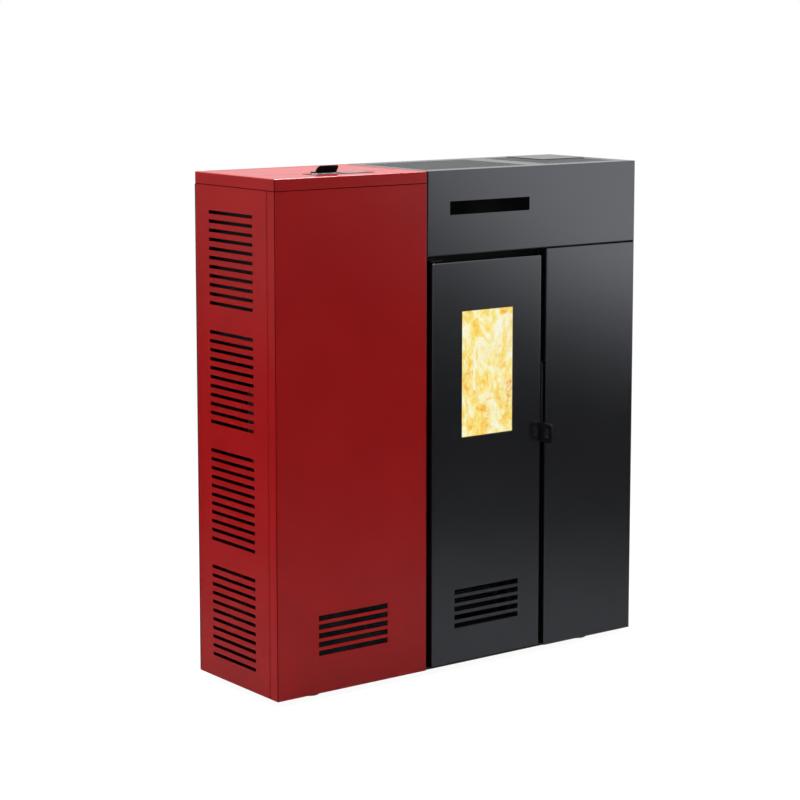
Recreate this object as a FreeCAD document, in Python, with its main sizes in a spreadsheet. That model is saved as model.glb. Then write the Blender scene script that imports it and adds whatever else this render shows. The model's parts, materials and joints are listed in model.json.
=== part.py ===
import FreeCAD, Part
import math
import os
import re

import Sketcher

# Slim free-standing pellet stove, in millimetres.
# +X is the stove's right, +Y its back and +Z up; the origin is on the floor under the casing's middle.

SIZES = {
    # casing
    "case_width": 907,
    "case_depth": 278,
    "case_height": 1000,
    "foot_height": 13,
    "fascia_height": 168,
    "fascia_gap": 2.5,
    "cover_depth": 22.5,
    "top_depth": 15,
    "return_depth": 25,
    "front_setback": 36,
    "flange": 20,
    "base_flange": 30,
    "sheet": 1.5,
    "plate": 3,
    "bend": 0.8,
    "seam": 1.6,
    "corner_seam": 2.2,
    "fit": 0.3,
    "running": 0.05,
    # feet
    "foot_inset": 107,
    "foot_setback": 50,
    "foot_radius": 20,
    "foot_neck": 16,
    "stud_radius": 4,
    "stud_length": 30,
    "nut_radius": 9,
    "nut_height": 9,
    # vents and slots
    "vent_length": 166,
    "vent_height": 10.5,
    "vent_pitch": 17.3,
    "vent_bottom": 74.25,
    "side_slot_length": 153,
    "side_slot_height": 7,
    "side_slot_pitch": 17.7,
    "side_slot_bottom": 42,
    "outlet_offset": 5,
    "outlet_length": 204,
    "outlet_drop": 61.5,
    "outlet_height": 27,
    # top grilles
    "grille_border": 30,
    "grille_left_margin": 17,
    "grille_trim": 10,
    "grille_bridge": 45,
    "grille_right_margin": 19.5,
    "grille_lap": 7,
    "grille_bar": 6,
    "grille_slot": 7,
    "blank_width": 116,
    "blank_length": 118,
    "blank_thickness": 1,
    "blank_inset": 20,
    # back panels
    "screw_head": 4,
    "screw_head_height": 2.2,
    "screw_radius": 1.9,
    "screw_length": 8,
    "screw_margin": 45,
    # hopper lid and control panel
    "lid_margin": 14,
    "lid_setback": 87,
    "lid_back_margin": 14,
    "lid_depth": 10,
    "lid_gap": 1.2,
    "lid_axis_inset": 8,
    "lid_axis_depth": 5,
    "lid_pin_radius": 2,
    "lid_pin_reach": 5,
    "lid_leaf": 3,
    "tab_width": 49,
    "tab_height": 14.5,
    "tab_lean": 9,
    "tab_foot": 18,
    "tab_thickness": 2,
    "tab_corner": 6,
    "control_left": 120,
    "control_width": 142,
    "control_setback": 43,
    "control_length": 39,
    "control_proud": 0.6,
    "control_depth": 22,
    # hopper and feed
    "hopper_margin": 22,
    "hopper_front_gap": 6,
    "hopper_back_gap": 20,
    "hopper_rim_gap": 4,
    "funnel_height": 100,
    "hopper_wing": 24,
    "hopper_wing_drop": 40,
    "grate_bar": 2.5,
    "grate_drop": 70,
    "feed_inlet": 66,
    "feed_inlet_rise": 45,
    "feed_inlet_reach": 150,
    "feed_rise": 145,
    "feed_setback": 150,
    "feed_flange": 12,
    "auger_tube_radius": 30,
    "auger_wall": 2,
    "auger_flight_gap": 1.5,
    "auger_shaft": 8,
    "auger_flight": 3,
    "auger_pitch": 40,
    "auger_end_wall": 6,
    "auger_motor_side": 70,
    "gearbox_width": 40,
    "gearbox_height": 90,
    "gearmotor_radius": 29,
    "gearmotor_length": 55,
    "chute_length": 66,
    "chute_width": 58,
    "chute_height": 22,
    "chute_angle": 40,
    # fire door
    "door_depth": 24,
    "door_floor_gap": 4,
    "reveal": 14,
    "window_width": 131,
    "window_height": 254,
    "window_drop": 100,
    "glass_lap": 14,
    "glass_thickness": 4,
    "glass_seal": 1.5,
    "frame_lap": 6,
    "frame_inset": 30,
    "rope_width": 12,
    "hinge_inset": 12,
    "hinge_pin_radius": 4,
    "hinge_pin_depth": 15,
    "hinge_leaf_width": 30,
    "hinge_leaf_height": 26,
    "hinge_clearance": 3,
    "washer_radius": 9,
    "washer_thickness": 0.8,
    # handle
    "lever_thickness": 4,
    "lever_gap": 1.4,
    "grip_height": 39,
    "lever_height": 163,
    "lever_proud": 0.5,
    "lever_depth": 26,
    "grip_reach": 34,
    "grip_bar": 10,
    "grip_corner": 7,
    "lever_arm_height": 10,
    "lever_arm_drop": 27,
    "pivot_drop": 14,
    "pivot_setback": 16,
    "pivot_radius": 4,
    "pivot_head": 7,
    "pivot_head_height": 2.3,
    "keeper_radius": 3,
    "keeper_gap": 1,
    "keeper_reach": 6,
    "keeper_leaf": 4,
    # firebox
    "chamber_margin": 40,
    "chamber_depth": 160,
    "chamber_drop": 41,
    "collar": 16,
    "front_plate_lap": 15,
    "fireback_thickness": 14,
    "fireback_groove": 3,
    "fireback_course": 62,
    "baffle_drop": 52,
    "baffle_thickness": 14,
    "baffle_front_gap": 35,
    "pot_width": 100,
    "pot_wall": 5,
    "pot_clearance": 4.6,
    "pot_below": 55,
    "pot_rim": 8,
    "pot_rim_height": 6,
    "pot_setback": 30,
    "pot_hole": 3,
    "pot_hole_pitch": 18,
    "drawer_clearance": 20,
    "drawer_gap": 2,
    "drawer_grip_width": 90,
    "drawer_grip_reach": 14,
    "drawer_grip_height": 20,
    "igniter_radius": 5,
    "igniter_length": 35,
    "igniter_flange": 14,
    "igniter_drop": 25,
    "air_pipe_radius": 25,
    "air_pipe_drop": 75,
    "air_pipe_reach": 34,
    "air_collar": 8,
    "air_flange": 12,
    "pipe_wall": 1.5,
    # heat exchanger and exhaust
    "header_width": 90,
    "header_drop": 65,
    "header_height": 62,
    "exchanger_margin": 9,
    "tube_radius": 20,
    "tube_wall": 2,
    "tube_spacing_x": 58,
    "tube_spacing_y": 46,
    "collector_height": 105,
    "exhaust_offset": 87.5,
    "exhaust_y": 8,
    "exhaust_radius": 78,
    "exhaust_height": 88,
    "exhaust_inlet": 36,
    "impeller_gap": 10,
    "impeller_height": 54,
    "impeller_blade": 2.5,
    "impeller_hub": 14,
    "exhaust_shaft": 5,
    "exhaust_motor_radius": 42,
    "motor_clearance": 32.5,
    "flue_radius": 40,
    "flue_reach": 40,
    "flue_insert": 28,
    "flue_collar": 14,
    # convection fan
    "fan_radius": 30,
    "fan_gap": 5,
    "fan_height": 108,
    "fan_shaft": 4,
    "fan_blade": 1.6,
    "fan_blade_depth": 8,
    "fan_disc": 2,
    "fan_cheek": 46,
    "fan_motor_radius": 28,
    "fan_motor_length": 36,
    # electrics
    "board_width": 150,
    "board_height": 110,
    "board_thickness": 1.6,
    "board_rise": 80,
    "board_spacer": 12,
    "inlet_right": 60,
    "inlet_bottom": 70,
    "inlet_width": 32,
    "inlet_height": 62,
    "inlet_flange": 2.5,
    "inlet_flange_lap": 4,
    "inlet_depth": 30,
    "socket_width": 24,
    "socket_height": 17,
    "socket_depth": 16,
    "inlet_pin_width": 2,
    "inlet_pin_height": 4,
    "inlet_pin_setback": 3,
    "rocker_width": 15,
    "rocker_height": 20,
    "rocker_depth": 12,
    "rocker_axis_depth": 3,
    "rocker_axle_radius": 1.5,
    "rocker_dip": 0.6,
    "rocker_rise": 3.4,
    "thermostat_rise": 120,
    "thermostat_radius": 16,
    "thermostat_depth": 24,
    "button_radius": 5,
    "button_proud": 5,
    "button_head": 8,
}

# Shares of the casing's width and height, counts, the taper of small heads, the tolerance of the checks.
HOPPER_SHARE = 358 / 907
DOOR_SHARE = 280 / 907
HEARTH_SHARE = 0.387
ASH_SHARE = 0.192
LEVER_SHARE = 0.433
GROUP_SHARE = 0.2339
VENTS = 5
SIDE_SLOTS = 11
SIDE_GROUPS = 4
GRATE_BARS = 9
POT_HOLES = 4
IMPELLER_BLADES = 10
FAN_BLADES = 20
HEAD_TAPER = 0.75
NEAR = 1e-4

# Places that follow from the sizes.
PLACES = {
    "left": "-case_width / 2",
    "right": "case_width / 2",
    "front": "-case_depth / 2",
    "back": "case_depth / 2",
    "bottom": "foot_height",
    "top": "foot_height + case_height",
    "floor": "bottom + sheet",
    "skin_back": "back - sheet",
    "structure_front": "front + front_setback",
    "upright_front": "front + return_depth + corner_seam",
    "hopper_bay": f"case_width * {HOPPER_SHARE}",
    "door_width": f"case_width * {DOOR_SHARE}",
    "side_group_pitch": f"case_height * {GROUP_SHARE}",
    "bay_edge": "left + hopper_bay",
    "cover_bottom": "top - cover_depth",
    "fascia_left": "bay_edge + fascia_gap",
    "fascia_bottom": "top - fascia_height",
    "door_left": "bay_edge + reveal",
    "door_right": "door_left + door_width",
    "door_middle": "door_left + door_width / 2",
    "door_bottom": "bottom + door_floor_gap",
    "door_top": "fascia_bottom - reveal",
    "panel_edge": "door_right + reveal",
    "lid_left": "left + lid_margin",
    "lid_right": "bay_edge - lid_margin",
    "lid_front": "front + lid_setback",
    "lid_back": "back - lid_back_margin",
    "lid_axis_y": "lid_back - lid_axis_inset",
    "lid_axis_z": "top - lid_axis_depth",
    "bay_middle": "left + hopper_bay / 2",
    "control_x": "left + control_left",
    "control_y": "front + control_setback",
    "hopper_left": "left + hopper_margin",
    "hopper_right": "bay_edge - hopper_margin",
    "hopper_front": "lid_front + hopper_front_gap",
    "hopper_back": "lid_back - hopper_back_gap",
    "hopper_top": "top - sheet - hopper_rim_gap",
    "hearth_height": f"bottom + case_height * {HEARTH_SHARE}",
    "ash_floor": f"bottom + case_height * {ASH_SHARE}",
    "feed_height": "hearth_height + feed_rise",
    "feed_inlet_top": "feed_height + feed_inlet_rise",
    "hopper_knee": "feed_inlet_top + funnel_height",
    "grate_pitch": f"(hopper_right - (hopper_left)) / {GRATE_BARS + 1}",
    "feed_x": "left + feed_inlet_reach",
    "feed_y": "front + feed_setback",
    "inlet_half": "feed_inlet / 2",
    "auger_left": "feed_x - inlet_half - sheet - feed_flange",
    "auger_inner": "auger_tube_radius - auger_wall",
    "gearbox_right": "auger_left - auger_end_wall",
    "chamber_width": "door_width - 2 * chamber_margin",
    "chamber_top": "door_top - chamber_drop",
    "baffle_height": "chamber_top - baffle_drop",
    "chamber_left": "door_middle - chamber_width / 2",
    "chamber_right": "door_middle + chamber_width / 2",
    "chamber_front": "structure_front + plate",
    "chamber_back": "chamber_front + chamber_depth",
    "glass_front": "front + sheet",
    "glass_back": "glass_front + glass_thickness",
    "frame_front": "glass_back + glass_seal",
    "frame_back": "frame_front + plate",
    "collar_front": "structure_front - collar",
    "window_left": "door_middle - window_width / 2",
    "window_floor": "door_top - window_drop - window_height",
    "vent_left": "door_middle - vent_length / 2",
    "vent_span": f"vent_pitch * {VENTS - 1} + vent_height",
    "hinge_x": "door_left + hinge_inset",
    "hinge_y": "front + hinge_inset",
    "lever_left": "door_right + lever_gap",
    "lever_right": "lever_left + lever_thickness",
    "lever_front": "front - lever_proud",
    "lever_floor": f"bottom + case_height * {LEVER_SHARE}",
    "lever_top": "lever_floor + lever_height",
    "pivot_y": "front + pivot_setback",
    "pivot_z": "lever_top - pivot_drop",
    "arm_top": "lever_top - lever_arm_drop",
    "keeper_y": "structure_front - keeper_reach",
    "keeper_z": "arm_top + keeper_gap + keeper_radius",
    "pot_y": "chamber_front + pot_setback + pot_width / 2",
    "pot_bottom": "hearth_height - pot_below",
    "pot_above": "feed_rise - auger_tube_radius - chute_height"
                 " - chute_length * sin(chute_angle) - pot_clearance",
    "drawer_height": "pot_bottom - (ash_floor) - drawer_clearance",
    "igniter_height": "hearth_height - igniter_drop",
    "air_pipe_height": "igniter_height - air_pipe_drop",
    "exchanger_right": "right - exchanger_margin",
    "tubes_x": "(panel_edge + sheet + exchanger_right) / 2",
    "header_bottom": "chamber_top - header_drop",
    "collector_bottom": "ash_floor",
    "collector_left": "tubes_x - tube_spacing_x - tube_radius - 2 * plate",
    "collector_right": "tubes_x + tube_spacing_x + tube_radius + 2 * plate",
    "collector_half": "tube_spacing_y / 2 + tube_radius + 2 * plate",
    "collector_top": "collector_bottom + collector_height",
    "exhaust_x": "panel_edge + exhaust_offset",
    "exhaust_top": "collector_bottom",
    "exhaust_bottom": "exhaust_top - exhaust_height",
    "exhaust_motor_height": "exhaust_bottom - (floor + motor_clearance)",
    "flue_x": "exhaust_x + exhaust_radius - flue_radius - tube_wall",
    "flue_z": "(exhaust_top + exhaust_bottom) / 2",
    "fan_length": "chamber_width",
    "fan_x": "door_middle - fan_length / 2",
    "fan_z": "fan_height",
    "board_bottom": "hopper_knee + board_rise",
    "outlet_left": "door_middle - outlet_length / 2 + outlet_offset",
    "outlet_top": "top - outlet_drop",
    "inlet_x": "left + inlet_right",
    "inlet_z": "bottom + inlet_bottom",
    "rocker_z": "inlet_z + inlet_height - 2 * inlet_flange_lap - rocker_height / 2",
    "rocker_y": "back + inlet_flange - rocker_axis_depth",
    "socket_z": "inlet_z + inlet_flange_lap + socket_height / 2",
    "thermostat_z": "inlet_z + thermostat_rise",
}

Vector = FreeCAD.Vector
doc = FreeCAD.newDocument("PelletStove")
dims = doc.addObject("Spreadsheet::Sheet", "Dims")
for row, (alias, size) in enumerate(SIZES.items(), 1):
    dims.set(f"A{row}", alias)
    dims.set(f"B{row}", str(size))
    dims.setAlias(f"B{row}", alias)
doc.recompute()

NODES = []


# Formulas, places and primitives

def formula(text):
    """Spell a formula of named sizes and places out in cells of the sheet."""
    def spell(match):
        word = match.group()
        if word in PLACES:
            return "(" + formula(PLACES[word]) + ")"
        if word in SIZES:
            return "Dims." + word
        return word
    return re.sub(r"[a-z][a-z_]*", spell, str(text))


def node(thing):
    """Keep a document object as one piece of the stove, under its Label."""
    NODES.append(thing)
    return thing


def place(thing, x, y, z):
    for letter, where in zip("xyz", (x, y, z)):
        thing.setExpression(f"Placement.Base.{letter}", formula(where))


def beyond(span, reach):
    """A span made longer at both ends."""
    return (f"{span[0]} - ({reach})", f"{span[1]} + ({reach})")


def block(name, x, y, z):
    """A box between the low and high formulas of each axis."""
    box = doc.addObject("Part::Box", name)
    for side, (low, high) in zip(("Length", "Width", "Height"), (x, y, z)):
        box.setExpression(side, formula(f"({high}) - ({low})"))
    place(box, x[0], y[0], z[0])
    return box


ALONG = {
    "x": FreeCAD.Rotation(Vector(0, 1, 0), 90),
    "y": FreeCAD.Rotation(Vector(1, 0, 0), -90),
    "z": FreeCAD.Rotation(),
}


def rod(name, axis, radius, centre, span, top_radius=None):
    """A cylinder, or a cone, along one axis; centre gives the other two places in order."""
    kind = "Part::Cylinder" if top_radius is None else "Part::Cone"
    bar = doc.addObject(kind, name)
    bar.Placement = FreeCAD.Placement(Vector(), ALONG[axis])
    if top_radius is None:
        bar.setExpression("Radius", formula(radius))
    else:
        bar.setExpression("Radius1", formula(radius))
        bar.setExpression("Radius2", formula(top_radius))
    bar.setExpression("Height", formula(f"({span[1]}) - ({span[0]})"))
    where = list(centre)
    where.insert("xyz".index(axis), span[0])
    place(bar, *where)
    return bar


def fuse(name, *pieces):
    union = doc.addObject("Part::MultiFuse", name)
    union.Shapes = list(pieces)
    union.Refine = True
    return union


def frame_of(name, outer, inner, span, upright=False):
    """Four strips around a rectangular opening: low and high are full length, the sides lie between."""
    (outer_x, outer_up), (inner_x, inner_up) = outer, inner
    strips = {"low": (outer_x, (outer_up[0], inner_up[0])), "high": (outer_x, (inner_up[1], outer_up[1])),
              "left": ((outer_x[0], inner_x[0]), inner_up), "right": ((inner_x[1], outer_x[1]), inner_up)}
    return {side: block(f"{name}_{side}", x, *((span, up) if upright else (up, span)))
            for side, (x, up) in strips.items()}


def group(name, *pieces):
    """Separate solids that share one node."""
    bundle = doc.addObject("Part::Compound", name)
    bundle.Links = list(pieces)
    return bundle


def cut(name, base, *tools):
    result = doc.addObject("Part::Cut", name)
    result.Base = base
    result.Tool = tools[0] if len(tools) == 1 else fuse(name + "_cutters", *tools)
    return result


def ring(name, axis, outer, inner, centre, span):
    """A straight tube."""
    return cut(name, rod(name + "_outside", axis, outer, centre, span),
               rod(name + "_bore", axis, inner, centre, span))


def frame(name, x, y, z, wide, axis):
    """A rectangular ring of one width, open along one axis."""
    spans = dict(zip("xyz", (x, y, z)))
    inner = {}
    for letter, (low, high) in spans.items():
        inner[letter] = (low, high) if letter == axis else (f"{low} + {wide}", f"{high} - ({wide})")
    return cut(name, block(name + "_outside", x, y, z), block(name + "_hole", *inner.values()))


# Bodies with sketches

def sketch_on(body, name, role):
    sketch = body.newObject("Sketcher::SketchObject", name)
    plane = next(item for item in body.Origin.OriginFeatures if item.Role == role)
    sketch.AttachmentSupport = (plane, [""])
    sketch.MapMode = "FlatFace"
    return sketch


def tie(sketch, kind, ends, length):
    """One dimension of a sketch, bound to a formula."""
    index = sketch.addConstraint(Sketcher.Constraint(kind, *ends, 1.0))
    sketch.setExpression(f"Constraints[{index}]", formula(length))


def pin(sketch, line, end, x, y):
    """Fix one end of a sketch line at a formula place, right of and above the body's own corner."""
    for kind, axis, where in (("DistanceX", -2, x), ("DistanceY", -1, y)):
        if where == "0":
            sketch.addConstraint(Sketcher.Constraint("PointOnObject", line, end, axis))
        else:
            tie(sketch, kind, (-1, 1, line, end), where)


def outline(sketch, points):
    """A closed outline of straight lines through formula points."""
    count = len(points)
    first = sketch.GeometryCount
    rough = [Vector(9 * math.cos(2 * math.pi * i / count) + 10, 9 * math.sin(2 * math.pi * i / count) + 10, 0)
             for i in range(count)]
    for i in range(count):
        sketch.addGeometry(Part.LineSegment(rough[i], rough[(i + 1) % count]), False)
    for i in range(count):
        sketch.addConstraint(Sketcher.Constraint("Coincident", first + i, 2, first + (i + 1) % count, 1))
    for i, (x, y) in enumerate(points):
        pin(sketch, first + i, 1, x, y)


def rectangle(sketch, x, y):
    outline(sketch, [(x[0], y[0]), (x[1], y[0]), (x[1], y[1]), (x[0], y[1])])


def circle(sketch, radius, x="0", y="0"):
    index = sketch.addGeometry(Part.Circle(Vector(5, 5, 0), Vector(0, 0, 1), 2), False)
    pin(sketch, index, 3, x, y)
    tie(sketch, "Radius", (index,), radius)


def pad(body, name, sketch, length, reverse=False):
    feature = body.newObject("PartDesign::Pad", name)
    feature.Profile = sketch
    feature.setExpression("Length", formula(length))
    feature.Reversed = reverse
    doc.recompute()
    return feature


def pocket(body, name, sketch):
    """Cut a sketch right through the body, both ways from its plane."""
    before = body.Tip.Shape.Volume
    feature = body.newObject("PartDesign::Pocket", name)
    feature.Profile = sketch
    feature.Type = "ThroughAll"
    feature.SideType = "Symmetric"
    doc.recompute()
    if feature.Shape.Volume > before - NEAR:
        raise ValueError(f"{name} cuts nothing")
    return feature


def rows(body, name, feature, sketch, pitch, count, group_pitch=None, groups=1, axis="V_Axis"):
    """Repeat a feature along its sketch's axis, and the whole row again in groups."""
    pattern = body.newObject("PartDesign::LinearPattern", name)
    pattern.Originals = [feature]
    pattern.Direction = (sketch, [axis])
    pattern.setExpression("Length", formula(f"({pitch}) * {count - 1}"))
    pattern.Occurrences = count
    if group_pitch:
        pattern.Direction2 = (sketch, [axis])
        pattern.setExpression("Length2", formula(f"({group_pitch}) * {groups - 1}"))
        pattern.Occurrences2 = groups
    body.Tip = pattern
    doc.recompute()
    return pattern


def round_edges(body, name, base, edges, radius):
    feature = body.newObject("PartDesign::Fillet", name)
    feature.Base = (base, edges)
    feature.setExpression("Radius", formula(radius))
    doc.recompute()
    return feature


SIDES = {
    "left": ("X", "Min"),
    "right": ("X", "Max"),
    "front": ("Y", "Min"),
    "back": ("Y", "Max"),
    "bottom": ("Z", "Min"),
    "top": ("Z", "Max"),
}


def lies_on(shape, element, side):
    """Whether a face or edge lies in one side of the shape's box."""
    axis, end = SIDES[side]
    limit = getattr(shape.BoundBox, axis + end)
    box = element.BoundBox
    return max(abs(getattr(box, axis + "Min") - limit), abs(getattr(box, axis + "Max") - limit)) < NEAR


def folded(name, x, y, z, open_sides, thickness="sheet"):
    """Sheet steel folded from a block: the open sides are left off and every bend is rounded."""
    body = doc.addObject("PartDesign::Body", name)
    place(body, x[0], y[0], z[0])
    base = sketch_on(body, name + "_outline", "XY_Plane")
    rectangle(base, ("0", f"{x[1]} - ({x[0]})"), ("0", f"{y[1]} - ({y[0]})"))
    solid = pad(body, name + "_block", base, f"{z[1]} - ({z[0]})")
    kept = [side for side in SIDES if side not in open_sides]
    bends = [f"Edge{i}" for i, edge in enumerate(solid.Shape.Edges, 1)
             if sum(lies_on(solid.Shape, edge, side) for side in kept) == 2]
    bent = round_edges(body, name + "_bends", solid, bends, f"{thickness} + bend")
    away = [f"Face{i}" for i, face in enumerate(bent.Shape.Faces, 1)
            if any(lies_on(bent.Shape, face, side) for side in open_sides)]
    shell = body.newObject("PartDesign::Thickness", name + "_sheet")
    shell.Base = (bent, away)
    shell.setExpression("Value", formula(thickness))
    shell.Reversed = True
    doc.recompute()
    return body


def window(body, name, role, x, y):
    """A rectangular hole through a body."""
    sketch = sketch_on(body, name + "_outline", role)
    rectangle(sketch, x, y)
    return pocket(body, name, sketch)


def slot_rows(body, name, role, corner, length, height, pitch, count, **more):
    """Rows of slots through a body; the corner is the first slot's lower left one."""
    sketch = sketch_on(body, name + "_outline", role)
    rectangle(sketch, (corner[0], f"{corner[0]} + {length}"), (corner[1], f"{corner[1]} + {height}"))
    first = pocket(body, name + "_first", sketch)
    return rows(body, name, first, sketch, pitch, count, **more)


# Base and levelling feet

FEET = {
    "front_left": ("left + foot_inset", "front + foot_setback"),
    "front_right": ("right - foot_inset", "front + foot_setback"),
    "back_left": ("left + foot_inset", "back - foot_setback"),
    "back_right": ("right - foot_inset", "back - foot_setback"),
}

pan = folded("base_sheet", ("left + sheet + fit", "right - sheet - fit"),
             ("structure_front", "skin_back - sheet - fit"), ("bottom", "bottom + base_flange"),
             ("top", "front", "back"))
nuts = [rod(f"nut_{spot}", "z", "nut_radius", centre, ("floor", "floor + nut_height"))
        for spot, centre in FEET.items()]
studs = [rod(f"stud_hole_{spot}", "z", "stud_radius + running", centre, ("bottom", "floor + nut_height"))
         for spot, centre in FEET.items()]
node(cut("base_pan", fuse("base_with_nuts", pan, *nuts), *studs))

for spot, centre in FEET.items():
    pad_cone = rod(f"pad_{spot}", "z", "foot_radius", centre, ("0", "foot_height"), "foot_neck")
    stud = rod(f"stud_{spot}", "z", "stud_radius", centre, ("0", "foot_height + stud_length"))
    node(fuse(f"foot_{spot}", pad_cone, stud))

# Red hopper casing

hopper_panel = folded("hopper_front_panel", ("left", "bay_edge"), ("front", "front + return_depth"),
                      ("bottom", "cover_bottom - seam"), ("back", "top", "bottom"))
slot_rows(hopper_panel, "hopper_vents", "XZ_Plane", ("(hopper_bay - vent_length) / 2", "vent_bottom"),
          "vent_length", "vent_height", "vent_pitch", VENTS)
node(hopper_panel)


def side_slots(body, name):
    """Four groups of slots, in the middle of a side panel's depth."""
    slot_rows(body, name, "YZ_Plane",
              ("(skin_back - (upright_front) - side_slot_length) / 2", "side_slot_bottom"),
              "side_slot_length", "side_slot_height", "side_slot_pitch", SIDE_SLOTS,
              group_pitch="side_group_pitch", groups=SIDE_GROUPS)


def screw_spots(columns, low, high):
    """Screw places on the back, three high in each column."""
    heights = (f"{low} + screw_margin", f"({low} + ({high})) / 2", f"{high} - screw_margin")
    return [(column, height) for column in columns for height in heights]


BACK_TOP = "top - top_depth - seam"
HOPPER_BACK_TOP = "cover_bottom - seam"
HOPPER_SCREWS = screw_spots(("left + flange / 2", "bay_edge - flange / 2"), "bottom", HOPPER_BACK_TOP)
FIRE_SCREWS = screw_spots(("panel_edge + flange / 2", "right - flange / 2"), "bottom", "fascia_bottom")


def drilled(name, base, spots):
    """A piece with screw holes along Y near the back."""
    holes = [rod(f"{name}_hole_{i}", "y", "screw_radius + running", spot,
                 ("skin_back - screw_length", "back"))
             for i, spot in enumerate(spots)]
    return cut(name, base, *holes)


side = folded("left_side_sheet", ("left", "left + flange"), ("upright_front", "skin_back"),
              ("bottom", "cover_bottom - seam"), ("right", "top", "bottom"))
side_slots(side, "left_side_slots")
node(drilled("left_side_panel", side, HOPPER_SCREWS[:3]))

divider = folded("divider_sheet", ("bay_edge - flange", "bay_edge"), ("upright_front", "skin_back"),
                 ("floor", "cover_bottom - seam"), ("left", "top", "bottom"))
auger_pass = rod("divider_auger_hole", "x", "auger_tube_radius + fit", ("feed_y", "feed_height"),
                 ("bay_edge - flange", "bay_edge"))
divider_open = cut("divider_with_hole", divider, auger_pass)
node(drilled("bay_divider", divider_open, HOPPER_SCREWS[3:]))

cover = folded("hopper_top_cover", ("left", "bay_edge"), ("front", "back"), ("cover_bottom", "top"),
               ("bottom",))
window(cover, "lid_opening", "XY_Plane",
       ("lid_margin - lid_gap", "hopper_bay - lid_margin + lid_gap"),
       ("lid_setback - lid_gap", "case_depth - lid_back_margin + lid_gap"))
window(cover, "control_opening", "XY_Plane",
       ("control_left + sheet", "control_left + control_width - sheet"),
       ("control_setback + sheet", "control_setback + control_length - sheet"))
node(cover)

# Hopper lid with its tab, turning on two pins

lid_sheet = folded("lid_sheet", ("lid_left", "lid_right"), ("lid_front", "lid_back"),
                   ("top - lid_depth", "top"),
                   ("bottom",))
lid_bores = [rod(f"lid_bore_{end}", "x", "lid_pin_radius + running", ("lid_axis_y", "lid_axis_z"), span)
             for end, span in (("left", ("lid_left", "lid_left + 2 * sheet")),
                               ("right", ("lid_right - 2 * sheet", "lid_right")))]
node(cut("hopper_lid", lid_sheet, *lid_bores))

tab = doc.addObject("PartDesign::Body", "tab_strip_body")
place(tab, "bay_middle - tab_width / 2", "lid_front - tab_lean", "top")
tab_side = sketch_on(tab, "tab_side", "YZ_Plane")
outline(tab_side, [("tab_lean + bend", "0"),
                   ("tab_lean + tab_foot", "0"),
                   ("tab_lean + tab_foot", "tab_thickness"),
                   ("tab_lean + tab_thickness + bend", "tab_thickness"),
                   ("tab_thickness", "tab_height"),
                   ("0", "tab_height")])
pad(tab, "tab_strip", tab_side, "tab_width")
TAB_X = ("bay_middle - tab_width / 2", "bay_middle + tab_width / 2")
TAB_Y = ("lid_front - tab_lean", "lid_front + tab_foot")
tab_mask = fuse("tab_mask",
                block("tab_mask_low", TAB_X, TAB_Y, ("top", "top + tab_height - tab_corner")),
                block("tab_mask_middle", beyond(TAB_X, "-tab_corner"), TAB_Y, ("top", "top + tab_height")),
                *[rod(f"tab_mask_corner_{i}", "y", "tab_corner", (x, "top + tab_height - tab_corner"), TAB_Y)
                  for i, x in enumerate(beyond(TAB_X, "-tab_corner"))])
rounded_tab = doc.addObject("Part::Common", "lid_handle")
rounded_tab.Base = tab
rounded_tab.Tool = tab_mask
node(rounded_tab)

leaves = []
for end, leaf, pin_span in (
        ("left", ("lid_left - lid_gap - lid_leaf", "lid_left - lid_gap"),
         ("lid_left - lid_gap - lid_leaf", "lid_left + lid_pin_reach")),
        ("right", ("lid_right + lid_gap", "lid_right + lid_gap + lid_leaf"),
         ("lid_right - lid_pin_reach", "lid_right + lid_gap + lid_leaf"))):
    ear = block(f"lid_ear_{end}", leaf, ("lid_axis_y - lid_axis_inset", "lid_axis_y + lid_axis_inset"),
                ("top - 2 * lid_axis_depth - sheet", "top - sheet"))
    pivot = rod(f"lid_pin_{end}", "x", "lid_pin_radius", ("lid_axis_y", "lid_axis_z"), pin_span)
    leaves.append(fuse(f"lid_hinge_{end}", ear, pivot))
node(group("lid_hinge_brackets", *leaves))

# Control panel in the top cover

node(block("control_glass", ("control_x", "control_x + control_width"),
           ("control_y", "control_y + control_length"), ("top", "top + control_proud")))
housing = block("housing_block", ("control_x + sheet + fit", "control_x + control_width - sheet - fit"),
                ("control_y + sheet + fit", "control_y + control_length - sheet - fit"),
                ("top - control_depth", "top"))
housing_lip = block("housing_lip", ("control_x", "control_x + control_width"),
                    ("control_y", "control_y + control_length"), ("top - 2 * sheet", "top - sheet"))
node(fuse("control_housing", housing, housing_lip))

# Black casing

fascia = folded("fascia_panel", ("fascia_left", "right"), ("front", "front + return_depth"),
                ("fascia_bottom", "top"), ("back", "top"))
window(fascia, "warm_air_slot", "XZ_Plane",
       ("outlet_left - (fascia_left)", "outlet_left - (fascia_left) + outlet_length"),
       ("outlet_top - outlet_height - (fascia_bottom)", "outlet_top - (fascia_bottom)"))
node(fascia)

node(folded("right_front_panel", ("panel_edge", "right"), ("front", "front + return_depth"),
            ("bottom", "fascia_bottom - seam"), ("back", "bottom")))

wall = folded("exchanger_wall_sheet", ("panel_edge", "panel_edge + flange"), ("upright_front", "skin_back"),
              ("floor", "fascia_bottom - seam"), ("right", "top", "bottom"))
header_pass = block("header_pass", ("panel_edge", "panel_edge + flange"),
                    ("-header_width / 2 - fit", "header_width / 2 + fit"),
                    ("header_bottom - fit", "header_bottom + header_height + fit"))
wall_open = cut("wall_with_pass", wall, header_pass)
node(drilled("exchanger_wall", wall_open, FIRE_SCREWS[:3]))

side = folded("right_side_sheet", ("right - flange", "right"), ("upright_front", "skin_back"),
              ("bottom", "top"), ("left", "top", "bottom"))
window(side, "top_plate_relief", "XZ_Plane", ("0", "flange - sheet"),
       ("case_height - top_depth - seam", "case_height"))
side_slots(side, "right_side_slots")
node(drilled("right_side_panel", side, FIRE_SCREWS[3:]))

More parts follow.
